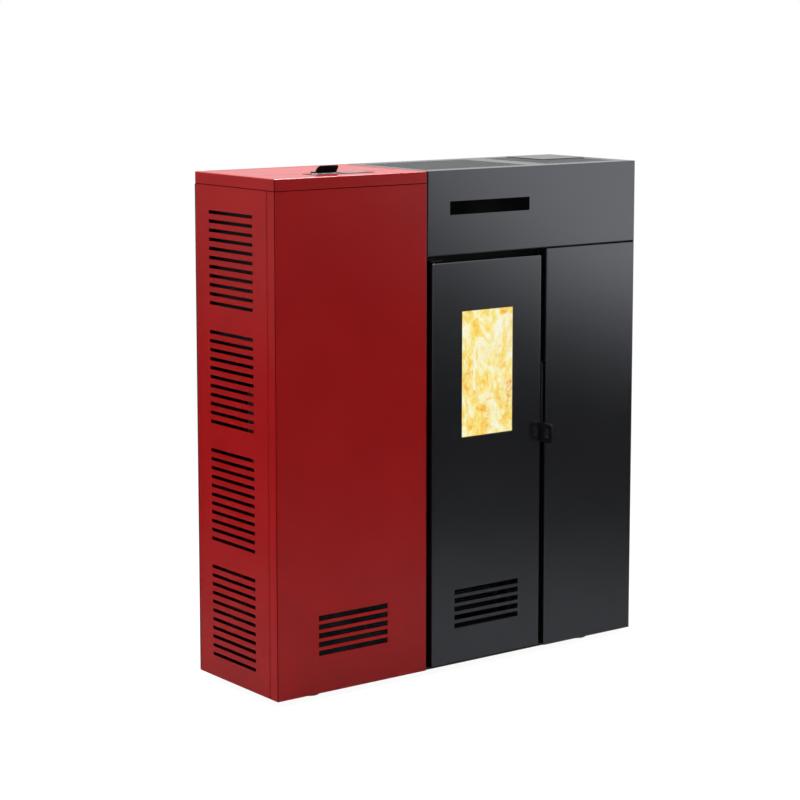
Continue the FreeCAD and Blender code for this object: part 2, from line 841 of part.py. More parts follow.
TOP_X = ("fascia_left + sheet + fit", "right - sheet - fit")
TOP_Y = ("front + sheet + fit", "back")
GRILLE_Y = ("front + grille_border", "back - grille_border")
GRILLES = {
    "left": ("fascia_left + grille_left_margin",
             "fascia_left + grille_left_margin + door_width - grille_trim"),
    "right": ("fascia_left + grille_left_margin + door_width - grille_trim + grille_bridge",
              "right - grille_right_margin"),
}
top_plate = folded("top_plate", TOP_X, TOP_Y, ("top - top_depth", "top"), ("bottom",))
for hand, span in GRILLES.items():
    window(top_plate, f"{hand}_grille_opening", "XY_Plane",
           (f"{span[0]} - ({TOP_X[0]})", f"{span[1]} - ({TOP_X[0]})"),
           (f"{GRILLE_Y[0]} - ({TOP_Y[0]})", f"{GRILLE_Y[1]} - ({TOP_Y[0]})"))
node(top_plate)


GRILLE_STEP = SIZES["grille_bar"] + SIZES["grille_slot"]


def top_grille(name, x):
    """A slotted plate let into the top plate from below, on a lap under its edge."""
    body = doc.addObject("PartDesign::Body", name)
    place(body, f"{x[0]} - grille_lap", f"{GRILLE_Y[0]} - grille_lap", "top - 2 * sheet")
    wide = f"{x[1]} - ({x[0]})"
    deep = f"{GRILLE_Y[1]} - ({GRILLE_Y[0]})"
    lap = sketch_on(body, name + "_lap", "XY_Plane")
    rectangle(lap, ("0", f"{wide} + 2 * grille_lap"), ("0", f"{deep} + 2 * grille_lap"))
    pad(body, name + "_under", lap, "sheet")
    raised = sketch_on(body, name + "_face", "XY_Plane")
    rectangle(raised, ("grille_lap + fit", f"{wide} + grille_lap - fit"),
              ("grille_lap + fit", f"{deep} + grille_lap - fit"))
    plate = pad(body, name + "_plate", raised, "2 * sheet")
    slots = int((plate.Shape.BoundBox.XLength - 2 * SIZES["grille_lap"] - SIZES["grille_bar"]) // GRILLE_STEP)
    cutout = sketch_on(body, name + "_slot", "XY_Plane")
    rectangle(cutout, ("grille_lap + grille_bar", "grille_lap + grille_bar + grille_slot"),
              ("grille_lap + grille_bar", f"{deep} + grille_lap - grille_bar"))
    first = pocket(body, name + "_first_slot", cutout)
    rows(body, name + "_slots", first, cutout, "grille_bar + grille_slot", slots, axis="H_Axis")
    return body


node(group("top_grilles", *[top_grille(f"{hand}_top_grille", span) for hand, span in GRILLES.items()]))

blank = doc.addObject("PartDesign::Body", "flue_blanking_plate")
place(blank, "right - blank_inset - blank_width", "back - blank_inset - blank_length", "top")
blank_face = sketch_on(blank, "blank_outline", "XY_Plane")
rectangle(blank_face, ("0", "blank_width"), ("0", "blank_length"))
blank_pad = pad(blank, "blank_pad", blank_face, "blank_thickness")
blank_edges = [f"Edge{i}" for i, edge in enumerate(blank_pad.Shape.Edges, 1)
               if lies_on(blank_pad.Shape, edge, "top")]
round_edges(blank, "blank_round", blank_pad, blank_edges, "blank_thickness / 3")
node(blank)

# Back panels and their screws

INLET_X = ("inlet_x", "inlet_x + inlet_width")
INLET_Z = ("inlet_z", "inlet_z + inlet_height")


def back_sheet(name, x, high, slot_x):
    """A flat back sheet with two groups of intake slots."""
    body = doc.addObject("PartDesign::Body", name)
    place(body, x[0], "skin_back", "bottom")
    face = sketch_on(body, name + "_outline", "XZ_Plane")
    rectangle(face, ("0", f"{x[1]} - ({x[0]})"), ("0", f"{high} - (bottom)"))
    pad(body, name + "_blank", face, "sheet", reverse=True)
    slot_rows(body, name + "_slots", "XZ_Plane", (f"{slot_x} - ({x[0]})", "2 * side_group_pitch"),
              "side_slot_length", "side_slot_height", "side_slot_pitch", SIDE_SLOTS)
    return body


sheet_back = back_sheet("hopper_back_sheet", ("left", "bay_edge - seam / 2"), HOPPER_BACK_TOP,
                        "bay_middle - side_slot_length / 2")
inlet_hole = block("inlet_hole", (f"{INLET_X[0]} - fit", f"{INLET_X[1]} + fit"), ("skin_back", "back"),
                   (f"{INLET_Z[0]} - fit", f"{INLET_Z[1]} + fit"))
button_hole = rod("button_hole", "y", "button_radius + running",
                  ("inlet_x + inlet_width / 2", "thermostat_z"),
                  ("skin_back", "back"))
sheet_open = cut("hopper_back_open", sheet_back, inlet_hole, button_hole)
node(drilled("hopper_back_panel", sheet_open, HOPPER_SCREWS))

sheet_back = back_sheet("fire_back_sheet", ("bay_edge + seam / 2", "right"), BACK_TOP,
                        "door_middle - side_slot_length / 2")
flue_hole = rod("flue_hole", "y", "flue_radius + fit", ("flue_x", "flue_z"), ("skin_back", "back"))
air_hole = rod("air_hole", "y", "air_pipe_radius + fit", ("door_middle", "air_pipe_height"),
               ("skin_back", "back"))
sheet_open = cut("fire_back_open", sheet_back, flue_hole, air_hole)
node(drilled("fire_back_panel", sheet_open, FIRE_SCREWS))

screws = []
for i, spot in enumerate(HOPPER_SCREWS + FIRE_SCREWS):
    head = rod(f"screw_head_{i}", "y", "screw_head", spot, ("back", "back + screw_head_height"),
               f"screw_head * {HEAD_TAPER}")
    shank = rod(f"screw_shank_{i}", "y", "screw_radius", spot, ("skin_back - screw_length", "back"))
    screws.append(fuse(f"screw_{i}", head, shank))
node(group("back_panel_screws", *screws))

# Fire door

DOOR_Z = ("door_bottom", "door_top")
leaf_sheet = folded("door_sheet", ("door_left", "door_right"), ("front", "front + door_depth"), DOOR_Z,
                    ("back",))
window(leaf_sheet, "door_window", "XZ_Plane",
       ("window_left - (door_left)", "window_left - (door_left) + window_width"),
       ("window_floor - (door_bottom)", "window_floor - (door_bottom) + window_height"))
slot_rows(leaf_sheet, "door_vents", "XZ_Plane",
          ("vent_left - (door_left)", "bottom + vent_bottom - (door_bottom)"),
          "vent_length", "vent_height", "vent_pitch", VENTS)
hinge_bore = rod("door_hinge_bore", "z", "hinge_pin_radius + running", ("hinge_x", "hinge_y"), DOOR_Z)
pivot_bore = rod("door_pivot_bore", "x", "pivot_radius + running", ("pivot_y", "pivot_z"),
                 ("door_right - 2 * sheet", "door_right"))
node(cut("door_panel", leaf_sheet, hinge_bore, pivot_bore))

WINDOW_X = ("window_left", "window_left + window_width")
WINDOW_Z = ("window_floor", "window_floor + window_height")


frame_plate = block("door_frame_plate", ("door_left + sheet", "door_right - sheet"),
                    ("frame_front", "frame_back"),
                    ("door_bottom + frame_inset", "door_top - frame_inset"))
frame_view = block("door_frame_view", beyond(WINDOW_X, "frame_lap"), ("frame_front", "frame_back"),
                   beyond(WINDOW_Z, "frame_lap"))
VENT_X = ("vent_left", "vent_left + vent_length")
VENT_Z = ("bottom + vent_bottom", "bottom + vent_bottom + vent_span")
frame_vent = block("door_frame_vent", VENT_X, ("frame_front", "frame_back"), VENT_Z)
node(cut("door_frame", frame_plate, frame_view, frame_vent))

node(block("door_glass", beyond(WINDOW_X, "glass_lap"), ("glass_front", "glass_back"),
           beyond(WINDOW_Z, "glass_lap")))
glass_seal_ring = frame("glass_seal_ring", beyond(WINDOW_X, "glass_lap"), ("glass_back", "frame_front"),
                        beyond(WINDOW_Z, "glass_lap"), "glass_lap - frame_lap", "y")

MOUTH_X = ("chamber_left", "chamber_right")
MOUTH_Z = ("ash_floor", "chamber_top")
ROPE_OUT = "rope_width / 2 + plate / 2"
rope_ring = frame("rope_ring", beyond(MOUTH_X, ROPE_OUT), ("frame_back", "collar_front - fit"),
                  beyond(MOUTH_Z, ROPE_OUT), "rope_width", "y")
node(group("door_gaskets", glass_seal_ring, rope_ring))

# Door hinges on the firebox front

HINGE_X = ("hinge_x - hinge_leaf_width / 2", "hinge_x + hinge_leaf_width / 2")
HINGE_Y = ("hinge_y - washer_radius", "structure_front")
LEAF_BACK = ("structure_front - plate", "structure_front")
hinges = []
pins = []
for end, leaf, upright, pin_span, bore in (
        ("bottom", ("bottom", "bottom + plate"), ("bottom", "bottom + hinge_leaf_height"),
         ("bottom", "door_bottom + hinge_pin_depth"), ("bottom", "door_bottom")),
        ("top", ("door_top + hinge_clearance", "door_top + hinge_clearance + plate"),
         ("door_top + hinge_clearance", "door_top + hinge_clearance + hinge_leaf_height"),
         ("door_top - hinge_pin_depth", "door_top + hinge_clearance + plate"),
         ("door_top", "door_top + hinge_clearance + plate"))):
    arm = fuse(f"hinge_arm_{end}",
               block(f"hinge_leaf_{end}", HINGE_X, HINGE_Y, leaf),
               block(f"hinge_upright_{end}", HINGE_X, LEAF_BACK, upright))
    if end == "bottom":
        washer = rod("hinge_washer", "z", "washer_radius", ("hinge_x", "hinge_y"),
                     (leaf[1], f"{leaf[1]} + washer_thickness"))
        arm = fuse("hinge_arm_with_washer", arm, washer)
    hole = rod(f"hinge_hole_{end}", "z", "hinge_pin_radius + running", ("hinge_x", "hinge_y"), bore)
    hinges.append(cut(f"hinge_{end}", arm, hole))
    pins.append(rod(f"hinge_pin_{end}", "z", "hinge_pin_radius", ("hinge_x", "hinge_y"), pin_span))
SILL_X = {"left": ("bay_edge + fit", HINGE_X[0]), "right": (HINGE_X[1], "panel_edge - fit")}
sills = [block(f"door_sill_{hand}", span, HINGE_Y, ("bottom", "bottom + plate"))
         for hand, span in SILL_X.items()]
node(group("door_hinge_brackets", *hinges, *sills))
node(group("door_hinge_pins", *pins))

# Handle lever in the reveal beside the door

lever = doc.addObject("PartDesign::Body", "lever_plate")
place(lever, "lever_left", "lever_front - grip_reach", "lever_floor")
lever_side = sketch_on(lever, "lever_side", "YZ_Plane")
ARM_END = "structure_front - (lever_front) + grip_reach - keeper_gap"
outline(lever_side, [("0", "0"),
                     ("grip_reach + lever_depth", "0"),
                     ("grip_reach + lever_depth", "lever_height - lever_arm_drop - lever_arm_height"),
                     (ARM_END, "lever_height - lever_arm_drop - lever_arm_height"),
                     (ARM_END, "lever_height - lever_arm_drop"),
                     ("grip_reach + lever_depth", "lever_height - lever_arm_drop"),
                     ("grip_reach + lever_depth", "lever_height"),
                     ("grip_reach", "lever_height"),
                     ("grip_reach", "grip_height"),
                     ("0", "grip_height")])
lever_pad = pad(lever, "lever_pad", lever_side, "lever_thickness")


def along_x(shape, side):
    """The edges along X on one side of a shape."""
    return [f"Edge{i}" for i, edge in enumerate(shape.Edges, 1)
            if edge.BoundBox.YLength < NEAR and edge.BoundBox.ZLength < NEAR and lies_on(shape, edge, side)]


round_edges(lever, "grip_round", lever_pad, along_x(lever_pad.Shape, "front"), "grip_corner")
window(lever, "finger_hole", "YZ_Plane", ("grip_bar", "grip_reach - grip_bar"),
       ("grip_bar", "grip_height - grip_bar"))
lever_bore = rod("lever_bore", "x", "pivot_radius + running", ("pivot_y", "pivot_z"),
                 ("lever_left", "lever_right"))
node(cut("handle_lever", lever, lever_bore))

pivot_pin = rod("pivot_shank", "x", "pivot_radius", ("pivot_y", "pivot_z"),
                ("door_right - 2 * sheet", "lever_right + fit"))
pivot_cap = rod("pivot_cap", "x", "pivot_head", ("pivot_y", "pivot_z"),
                ("lever_right + fit", "lever_right + fit + pivot_head_height"), f"pivot_head * {HEAD_TAPER}")
pivot_spacer = rod("pivot_spacer", "x", "pivot_head", ("pivot_y", "pivot_z"),
                   ("door_right", "lever_left - fit"))
node(fuse("handle_pivot", pivot_pin, pivot_cap, pivot_spacer))

keeper_leaf = block("keeper_leaf_plate", ("lever_right + keeper_gap",
                                          "lever_right + keeper_gap + keeper_leaf"),
                    ("keeper_y - keeper_radius", "structure_front"),
                    ("keeper_z - 2 * keeper_radius", "keeper_z + 2 * keeper_radius"))
keeper_pin = rod("keeper_pin", "x", "keeper_radius", ("keeper_y", "keeper_z"),
                 ("lever_left", "lever_right + keeper_gap"))
node(fuse("latch_keeper", keeper_leaf, keeper_pin))

# Firebox

front_plate = block("firebox_front_plate", ("bay_edge", "panel_edge"), ("structure_front", "chamber_front"),
                    ("floor", "fascia_bottom + front_plate_lap"))
collar_block = block("collar_block", beyond(MOUTH_X, "plate"), ("collar_front", "structure_front"),
                     beyond(MOUTH_Z, "plate"))
mouth = block("firebox_mouth", MOUTH_X, ("collar_front", "chamber_front"), MOUTH_Z)
plate_vent = block("front_plate_vent", VENT_X, ("structure_front", "chamber_front"), VENT_Z)
node(cut("firebox_front", fuse("firebox_front_solid", front_plate, collar_block), mouth, plate_vent))

POT_X = ("door_middle - pot_width / 2", "door_middle + pot_width / 2")
POT_Y = ("pot_y - pot_width / 2", "pot_y + pot_width / 2")
feed_hole = rod("firebox_feed_hole", "x", "auger_tube_radius + running", ("feed_y", "feed_height"),
                ("chamber_left - plate", "chamber_left"))
smoke_hole = block("firebox_smoke_hole", ("chamber_right", "chamber_right + plate"),
                   ("-header_width / 2 + plate", "header_width / 2 - plate"),
                   ("header_bottom + plate", "chamber_top"))
AIR_WINDOW = (("door_middle - air_pipe_radius", "door_middle + air_pipe_radius"),
              ("air_pipe_height - air_pipe_radius", "air_pipe_height + air_pipe_radius"))
igniter_hole = rod("firebox_igniter_hole", "y", "igniter_radius + fit", ("door_middle", "igniter_height"),
                   ("chamber_back", "chamber_back + plate"))
SHELL_X = beyond(MOUTH_X, "plate")
SHELL_Y = ("chamber_front", "chamber_back")
left_wall = block("firebox_left_sheet", ("chamber_left - plate", "chamber_left"), SHELL_Y, MOUTH_Z)
right_wall = block("firebox_right_sheet", ("chamber_right", "chamber_right + plate"), SHELL_Y, MOUTH_Z)
back_wall = frame_of("firebox_back", (SHELL_X, beyond(MOUTH_Z, "plate")), AIR_WINDOW,
                     ("chamber_back", "chamber_back + plate"), upright=True)
hearth = frame_of("firebox_hearth", (MOUTH_X, SHELL_Y), (beyond(POT_X, "fit"), beyond(POT_Y, "fit")),
                  ("hearth_height - plate", "hearth_height"))
node(group("firebox",
           cut("firebox_left_wall", left_wall, feed_hole),
           cut("firebox_right_wall", right_wall, smoke_hole),
           cut("firebox_back_wall", back_wall.pop("high"), igniter_hole),
           *back_wall.values(),
           *hearth.values(),
           block("firebox_roof", SHELL_X, SHELL_Y, ("chamber_top", "chamber_top + plate")),
           block("firebox_floor", SHELL_X, SHELL_Y, ("ash_floor - plate", "ash_floor"))))

# Fireback with brick courses, and the baffle that lies on it

back_slab = block("fireback_slab", beyond(MOUTH_X, "-fit"),
                  ("chamber_back - fireback_thickness", "chamber_back"),
                  ("hearth_height", "baffle_height"))
grooves = []
doc.recompute()
courses = int(back_slab.Shape.BoundBox.ZLength // SIZES["fireback_course"])
for i in range(1, courses + 1):
    level = f"hearth_height + {i} * fireback_course"
    grooves.append(block(f"course_{i}", MOUTH_X,
                         ("chamber_back - fireback_thickness",
                          "chamber_back - fireback_thickness + fireback_groove"),
                         (level, f"{level} + fireback_groove")))
node(cut("fireback", back_slab, *grooves))

node(block("smoke_baffle", beyond(MOUTH_X, "-fit"), ("chamber_front + baffle_front_gap", "chamber_back"),
           ("baffle_height", "baffle_height + baffle_thickness")))

# Burn pot welded from plates, hung in the hearth by its rim, with air holes and a loose grate on two ledges

POT_Z = ("pot_bottom", "hearth_height + pot_above")
CUP_X = beyond(POT_X, "-pot_wall")
CUP_Y = beyond(POT_Y, "-pot_wall")
pot_walls = frame_of("pot_wall", (POT_X, POT_Y), (CUP_X, CUP_Y), POT_Z)
pot_rims = frame_of("pot_rim", (beyond(POT_X, "pot_rim"), beyond(POT_Y, "pot_rim")), (POT_X, POT_Y),
                    ("hearth_height", "hearth_height + pot_rim_height"))
pot_holes = {side: [] for side in pot_walls}
grate_holes = []
for i in range(POT_HOLES):
    across = f"({i} - {(POT_HOLES - 1) / 2}) * pot_hole_pitch"
    for k in range(POT_HOLES):
        along = f"({k} - {(POT_HOLES - 1) / 2}) * pot_hole_pitch"
        grate_holes.append(rod(f"pot_grate_hole_{i}_{k}", "z", "pot_hole",
                               (f"door_middle + {across}", f"pot_y + {along}"),
                               ("pot_bottom + pot_wall", "pot_bottom + 2 * pot_wall")))
    for side, span in (("left", (POT_X[0], CUP_X[0])), ("right", (CUP_X[1], POT_X[1]))):
        pot_holes[side].append(rod(f"pot_{side}_hole_{i}", "x", "pot_hole",
                                   (f"pot_y + {across}", "hearth_height + pot_above / 2"), span))
pot_holes["high"].append(rod("pot_igniter_hole", "y", "igniter_radius + fit",
                             ("door_middle", "igniter_height"), (CUP_Y[1], POT_Y[1])))
pot_plates = []
for side, wall in pot_walls.items():
    plate = fuse(f"pot_{side}_plate", wall, pot_rims[side])
    pot_plates.append(cut(f"pot_{side}", plate, *pot_holes[side]) if pot_holes[side] else plate)
pot_ledges = [block(f"pot_ledge_{side}", span, CUP_Y, ("pot_bottom", "pot_bottom + pot_wall"))
              for side, span in (("left", (CUP_X[0], f"{CUP_X[0]} + pot_wall")),
                                 ("right", (f"{CUP_X[1]} - pot_wall", CUP_X[1])))]
pot_grate = block("pot_grate_plate", beyond(CUP_X, "-fit"), beyond(CUP_Y, "-fit"),
                  ("pot_bottom + pot_wall", "pot_bottom + 2 * pot_wall"))
node(group("burn_pot", *pot_plates, *pot_ledges, cut("pot_grate", pot_grate, *grate_holes)))

# Ash drawer with a bent grip

DRAWER_FRONT = "chamber_front + drawer_gap"
drawer = folded("drawer_tray", beyond(MOUTH_X, "-drawer_gap"), (DRAWER_FRONT, "chamber_back - drawer_gap"),
                ("ash_floor", "ash_floor + drawer_height"), ("top",))
GRIP_X = ("door_middle - drawer_grip_width / 2", "door_middle + drawer_grip_width / 2")
GRIP_Z = "ash_floor + drawer_height / 2"
drawer_grip = fuse("drawer_grip",
                   block("drawer_grip_shelf", GRIP_X, (f"{DRAWER_FRONT} - drawer_grip_reach", DRAWER_FRONT),
                         (GRIP_Z, f"{GRIP_Z} + sheet")),
                   block("drawer_grip_lip", GRIP_X,
                         (f"{DRAWER_FRONT} - drawer_grip_reach",
                          f"{DRAWER_FRONT} - drawer_grip_reach + sheet"),
                         (f"{GRIP_Z} - drawer_grip_height", GRIP_Z)))
node(fuse("ash_drawer", drawer, drawer_grip))

# Igniter and combustion air pipe

heater = rod("igniter_rod", "y", "igniter_radius", ("door_middle", "igniter_height"),
             ("chamber_back + plate - igniter_length", "chamber_back + plate + igniter_length / 2"))
heater_flange = rod("igniter_plate", "y", "igniter_flange", ("door_middle", "igniter_height"),
                    ("chamber_back + plate", "chamber_back + 2 * plate"))
node(fuse("igniter", heater, heater_flange))

AIR_PIPE = ("door_middle", "air_pipe_height")
AIR_Y = ("chamber_back + plate", "back + air_pipe_reach")
air_solid = fuse("air_pipe_solid",
                 block("air_pipe_flange", beyond(AIR_WINDOW[0], "air_flange"),
                       ("chamber_back + plate", "chamber_back + 2 * plate"),
                       beyond(AIR_WINDOW[1], "air_flange")),
                 rod("air_pipe", "y", "air_pipe_radius", AIR_PIPE, AIR_Y),
                 rod("air_rosette", "y", "air_pipe_radius + air_collar", AIR_PIPE,
                     ("back", "back + tube_wall")))
node(cut("air_inlet_pipe", air_solid, rod("air_pipe_bore", "y", "air_pipe_radius - pipe_wall", AIR_PIPE,
                                          AIR_Y)))

# Hopper with its funnel, hung on two wings

MOUTH = (("hopper_left", "hopper_right"), ("hopper_front", "hopper_back"))


def funnel(name, inset, low, high):
    """A tapering block from the feed inlet up to the hopper's box."""
    wedge = doc.addObject("Part::Wedge", name)
    wedge.Placement = FreeCAD.Placement(Vector(), FreeCAD.Rotation(Vector(1, 0, 0), 90))
    for cell, text in {
            "Xmin": f"feed_x - inlet_half - sheet + {inset}",
            "Xmax": f"feed_x + inlet_half + sheet - ({inset})",
            "Zmin": f"-(feed_y + inlet_half + sheet - ({inset}))",
            "Zmax": f"-(feed_y - inlet_half - sheet + {inset})",
            "X2min": f"hopper_left + {inset}",
            "X2max": f"hopper_right - ({inset})",
            "Z2min": f"-(hopper_back - ({inset}))",
            "Z2max": f"-(hopper_front + {inset})",
            "Ymin": low,
            "Ymax": high}.items():
        wedge.setExpression(cell, formula(text))
    return wedge


hopper_box = block("hopper_box", *MOUTH, ("hopper_knee", "hopper_top"))
hopper_cone = funnel("hopper_funnel", "0", "feed_inlet_top", "hopper_knee")
hopper_room = block("hopper_room", beyond(MOUTH[0], "-sheet"), beyond(MOUTH[1], "-sheet"),
                    ("hopper_knee", "hopper_top"))
hopper_throat = funnel("hopper_throat", "sheet", "feed_inlet_top", "hopper_knee")
WING_Z = "hopper_top - hopper_wing_drop"
WING_Y = beyond(MOUTH[1], "-hopper_wing")
wings = fuse("hopper_wings",
             block("wing_left", ("left + sheet", "hopper_left"), WING_Y, (WING_Z, f"{WING_Z} + sheet")),
             block("wing_left_lip", ("left + sheet", "left + 2 * sheet"), WING_Y,
                   (f"{WING_Z} - hopper_wing", WING_Z)),
             block("wing_right", ("hopper_right", "bay_edge - sheet"), WING_Y, (WING_Z, f"{WING_Z} + sheet")),
             block("wing_right_lip", ("bay_edge - 2 * sheet", "bay_edge - sheet"), WING_Y,
                   (f"{WING_Z} - hopper_wing", WING_Z)))
node(cut("hopper", fuse("hopper_solid", hopper_box, hopper_cone, wings), hopper_room, hopper_throat))

bars = []
for i in range(GRATE_BARS):
    across = f"(hopper_left + hopper_right) / 2 + ({i} - {(GRATE_BARS - 1) / 2}) * grate_pitch"
    bars.append(rod(f"grate_bar_{i}", "y", "grate_bar", (across, "hopper_top - grate_drop"),
                    beyond(MOUTH[1], "-sheet")))
node(group("hopper_grate", *bars))

# Auger in its tube, with its gearmotor and the chute into the fire

AUGER = ("feed_y", "feed_height")
TUBE_X = ("auger_left", "chamber_left")
INLET = (("feed_x - inlet_half", "feed_x + inlet_half"), ("feed_y - inlet_half", "feed_y + inlet_half"))
tube_solid = fuse("auger_tube_solid",
                  rod("auger_tube_outside", "x", "auger_tube_radius", AUGER, TUBE_X),
                  block("feed_box", beyond(INLET[0], "sheet"), beyond(INLET[1], "sheet"),
                        ("feed_height", "feed_inlet_top")),
                  block("feed_box_flange", beyond(INLET[0], "feed_flange"), beyond(INLET[1], "feed_flange"),
                        ("feed_inlet_top - sheet", "feed_inlet_top")),
                  block("auger_end_plate", ("gearbox_right", "auger_left"),
                        beyond(("feed_y", "feed_y"), "auger_motor_side / 2"),
                        beyond(("feed_height", "feed_height"), "auger_motor_side / 2")))
tube_space = fuse("auger_tube_space",
                  rod("auger_tube_bore", "x", "auger_inner", AUGER, TUBE_X),
                  block("feed_box_space", INLET[0], INLET[1], ("feed_height", "feed_inlet_top")),
                  rod("auger_end_bore", "x", "auger_shaft + running", AUGER, ("gearbox_right", "auger_left")))
node(cut("auger_tube", tube_solid, tube_space))

auger = doc.addObject("PartDesign::Body", "auger_screw")
auger.Placement = FreeCAD.Placement(Vector(), ALONG["x"])
place(auger, "gearbox_right - gearbox_width / 2", *AUGER)
shaft_round = sketch_on(auger, "auger_shaft_round", "XY_Plane")
circle(shaft_round, "auger_shaft")
SHAFT_LENGTH = "chamber_left - (gearbox_right) + gearbox_width / 2 - plate"
FLIGHT_START = "gearbox_width / 2 + auger_end_wall + auger_flight"
pad(auger, "auger_shaft_bar", shaft_round, SHAFT_LENGTH)
flight_section = sketch_on(auger, "auger_flight_section", "XZ_Plane")
rectangle(flight_section, ("auger_shaft / 2", "auger_inner - auger_flight_gap"),
          (FLIGHT_START, f"{FLIGHT_START} + auger_flight"))
flight = auger.newObject("PartDesign::AdditiveHelix", "auger_flight_helix")
flight.Profile = flight_section
flight.ReferenceAxis = (next(item for item in auger.Origin.OriginFeatures if item.Role == "Z_Axis"), [""])
flight.Mode = "pitch-height-angle"
flight.setExpression("Pitch", formula("auger_pitch"))
flight.setExpression("Height", formula(f"{SHAFT_LENGTH} - ({FLIGHT_START}) - 3 * auger_flight"))
node(auger)

gearbox = block("gearbox", ("gearbox_right - gearbox_width", "gearbox_right"),
                beyond(("feed_y", "feed_y"), "auger_motor_side / 2"),
                ("feed_height - gearbox_height / 2", "feed_height + gearbox_height / 2"))
gear_bore = rod("gearbox_bore", "x", "auger_shaft + running", AUGER,
                ("gearbox_right - gearbox_width / 2 - fit", "gearbox_right"))
gear_motor = rod("gear_motor_can", "z", "gearmotor_radius", ("gearbox_right - gearbox_width / 2", "feed_y"),
                 ("feed_height - gearbox_height / 2 - gearmotor_length", "feed_height - gearbox_height / 2"))
node(cut("auger_gearmotor", fuse("gearmotor_solid", gearbox, gear_motor), gear_bore))

chute = folded("feed_chute", ("0", "chute_length"), ("0", "chute_width"), ("0", "chute_height"),
               ("left", "right", "top"))
chute.Placement = FreeCAD.Placement(Vector(), FreeCAD.Rotation(Vector(0, 1, 0), SIZES["chute_angle"]))
chute.setExpression("Placement.Rotation.Angle", formula("chute_angle"))
place(chute, "chamber_left", "feed_y - chute_width / 2", "feed_height - auger_tube_radius - chute_height")
node(chute)

# Convection fan under the firebox

FAN = ("0", "fan_z")
FAN_X = ("fan_x", "fan_x + fan_length")
CASE_X = beyond(FAN_X, "fan_gap")
scroll = ring("fan_scroll", "x", "fan_radius + fan_gap + sheet", "fan_radius + fan_gap", FAN, CASE_X)
fan_mouth = block("fan_mouth", CASE_X, ("-2 * fan_radius", "-fan_radius / 3"),
                  ("fan_z - fan_radius / 2", "fan_z + fan_radius"))
fan_outlet = block("fan_outlet", CASE_X, ("fan_radius / 6", "2 * fan_radius"), ("fan_z + fan_radius / 3",
                                                                               "fan_z + 2 * fan_radius"))
scroll_open = cut("fan_scroll_open", scroll, fan_mouth, fan_outlet)
cheeks = [block(f"fan_cheek_{i}", span, ("-fan_cheek", "fan_cheek"), ("floor", "fan_z + fan_cheek"))
          for i, span in enumerate(((f"{CASE_X[0]} - sheet", CASE_X[0]),
                                    (CASE_X[1], f"{CASE_X[1]} + sheet")))]
fan_bore = rod("fan_bore", "x", "fan_shaft + running", FAN, beyond(CASE_X, "sheet"))
node(cut("convection_fan_housing", fuse("fan_case", scroll_open, *cheeks), fan_bore))

drum = doc.addObject("PartDesign::Body", "convection_fan_drum")
drum.Placement = FreeCAD.Placement(Vector(), ALONG["x"])
place(drum, f"{CASE_X[0]} - sheet", *FAN)
axle = sketch_on(drum, "fan_axle_round", "XY_Plane")
circle(axle, "fan_shaft")
pad(drum, "fan_axle", axle, "fan_length + 2 * fan_gap + 2 * sheet + fan_motor_length / 2")


def drum_disc(name, start):
    """A disc of the drum, that far along its axle."""
    sketch = sketch_on(drum, name + "_round", "XY_Plane")
    circle(sketch, "fan_radius")
    sketch.setExpression("AttachmentOffset.Base.z", formula(start))
    pad(drum, name, sketch, "fan_disc")


DRUM_START = "sheet + fan_gap"
drum_disc("drum_left", DRUM_START)
drum_disc("drum_middle", f"{DRUM_START} + fan_length / 2 - fan_disc / 2")
drum_disc("drum_right", f"{DRUM_START} + fan_length - fan_disc")
blade_section = sketch_on(drum, "drum_blade_section", "XY_Plane")
rectangle(blade_section, ("fan_radius - fan_blade_depth", "fan_radius - fan_blade / 2"), ("0", "fan_blade"))
blade_section.setExpression("AttachmentOffset.Base.z", formula(DRUM_START))
blade = pad(drum, "drum_blade", blade_section, "fan_length")
blades = drum.newObject("PartDesign::PolarPattern", "drum_blades")
blades.Originals = [blade]
blades.Axis = (blade_section, ["N_Axis"])
blades.Angle = 360
blades.Occurrences = FAN_BLADES
drum.Tip = blades
node(drum)

fan_can = rod("fan_motor_can", "x", "fan_motor_radius", FAN,
              (f"{CASE_X[1]} + sheet", f"{CASE_X[1]} + sheet + fan_motor_length"))
fan_can_bore = rod("fan_motor_bore", "x", "fan_shaft + running", FAN,
                   (f"{CASE_X[1]} + sheet", f"{CASE_X[1]} + sheet + fan_motor_length / 2 + fit"))
node(cut("convection_fan_motor", fan_can, fan_can_bore))

# Heat exchanger: header, six tubes and collector, welded together

TUBES = [(f"tubes_x + ({i}) * tube_spacing_x", f"({k}) * tube_spacing_y")
         for i in (-1, 0, 1) for k in (-0.5, 0.5)]
HEADER_Y = ("-header_width / 2", "header_width / 2")
HEADER_Z = ("header_bottom", "header_bottom + header_height")
COLLECTOR = (("collector_left", "collector_right"), ("-(collector_half)", "collector_half"),
             ("collector_bottom", "collector_top"))
header_cuts = [block("header_space", ("chamber_right + plate", "exchanger_right - plate"),
                     beyond(HEADER_Y, "-plate"), beyond(HEADER_Z, "-plate"))]
collector_cuts = [block("collector_space", *[beyond(span, "-plate") for span in COLLECTOR]),
                  rod("collector_outlet", "z", "exhaust_inlet", ("exhaust_x", "exhaust_y"),
                      ("collector_bottom", "collector_bottom + plate"))]
smoke_tubes = []
for i, centre in enumerate(TUBES):
    smoke_tubes.append(ring(f"smoke_tube_{i}", "z", "tube_radius", "tube_radius - tube_wall", centre,
                            ("collector_top", "header_bottom")))
    header_cuts.append(rod(f"header_hole_{i}", "z", "tube_radius - tube_wall", centre,
                           ("header_bottom", "header_bottom + plate")))
    collector_cuts.append(rod(f"collector_hole_{i}", "z", "tube_radius - tube_wall", centre,
                              ("collector_top - plate", "collector_top")))
header_box = block("header_block", ("chamber_right + plate", "exchanger_right"), HEADER_Y, HEADER_Z)
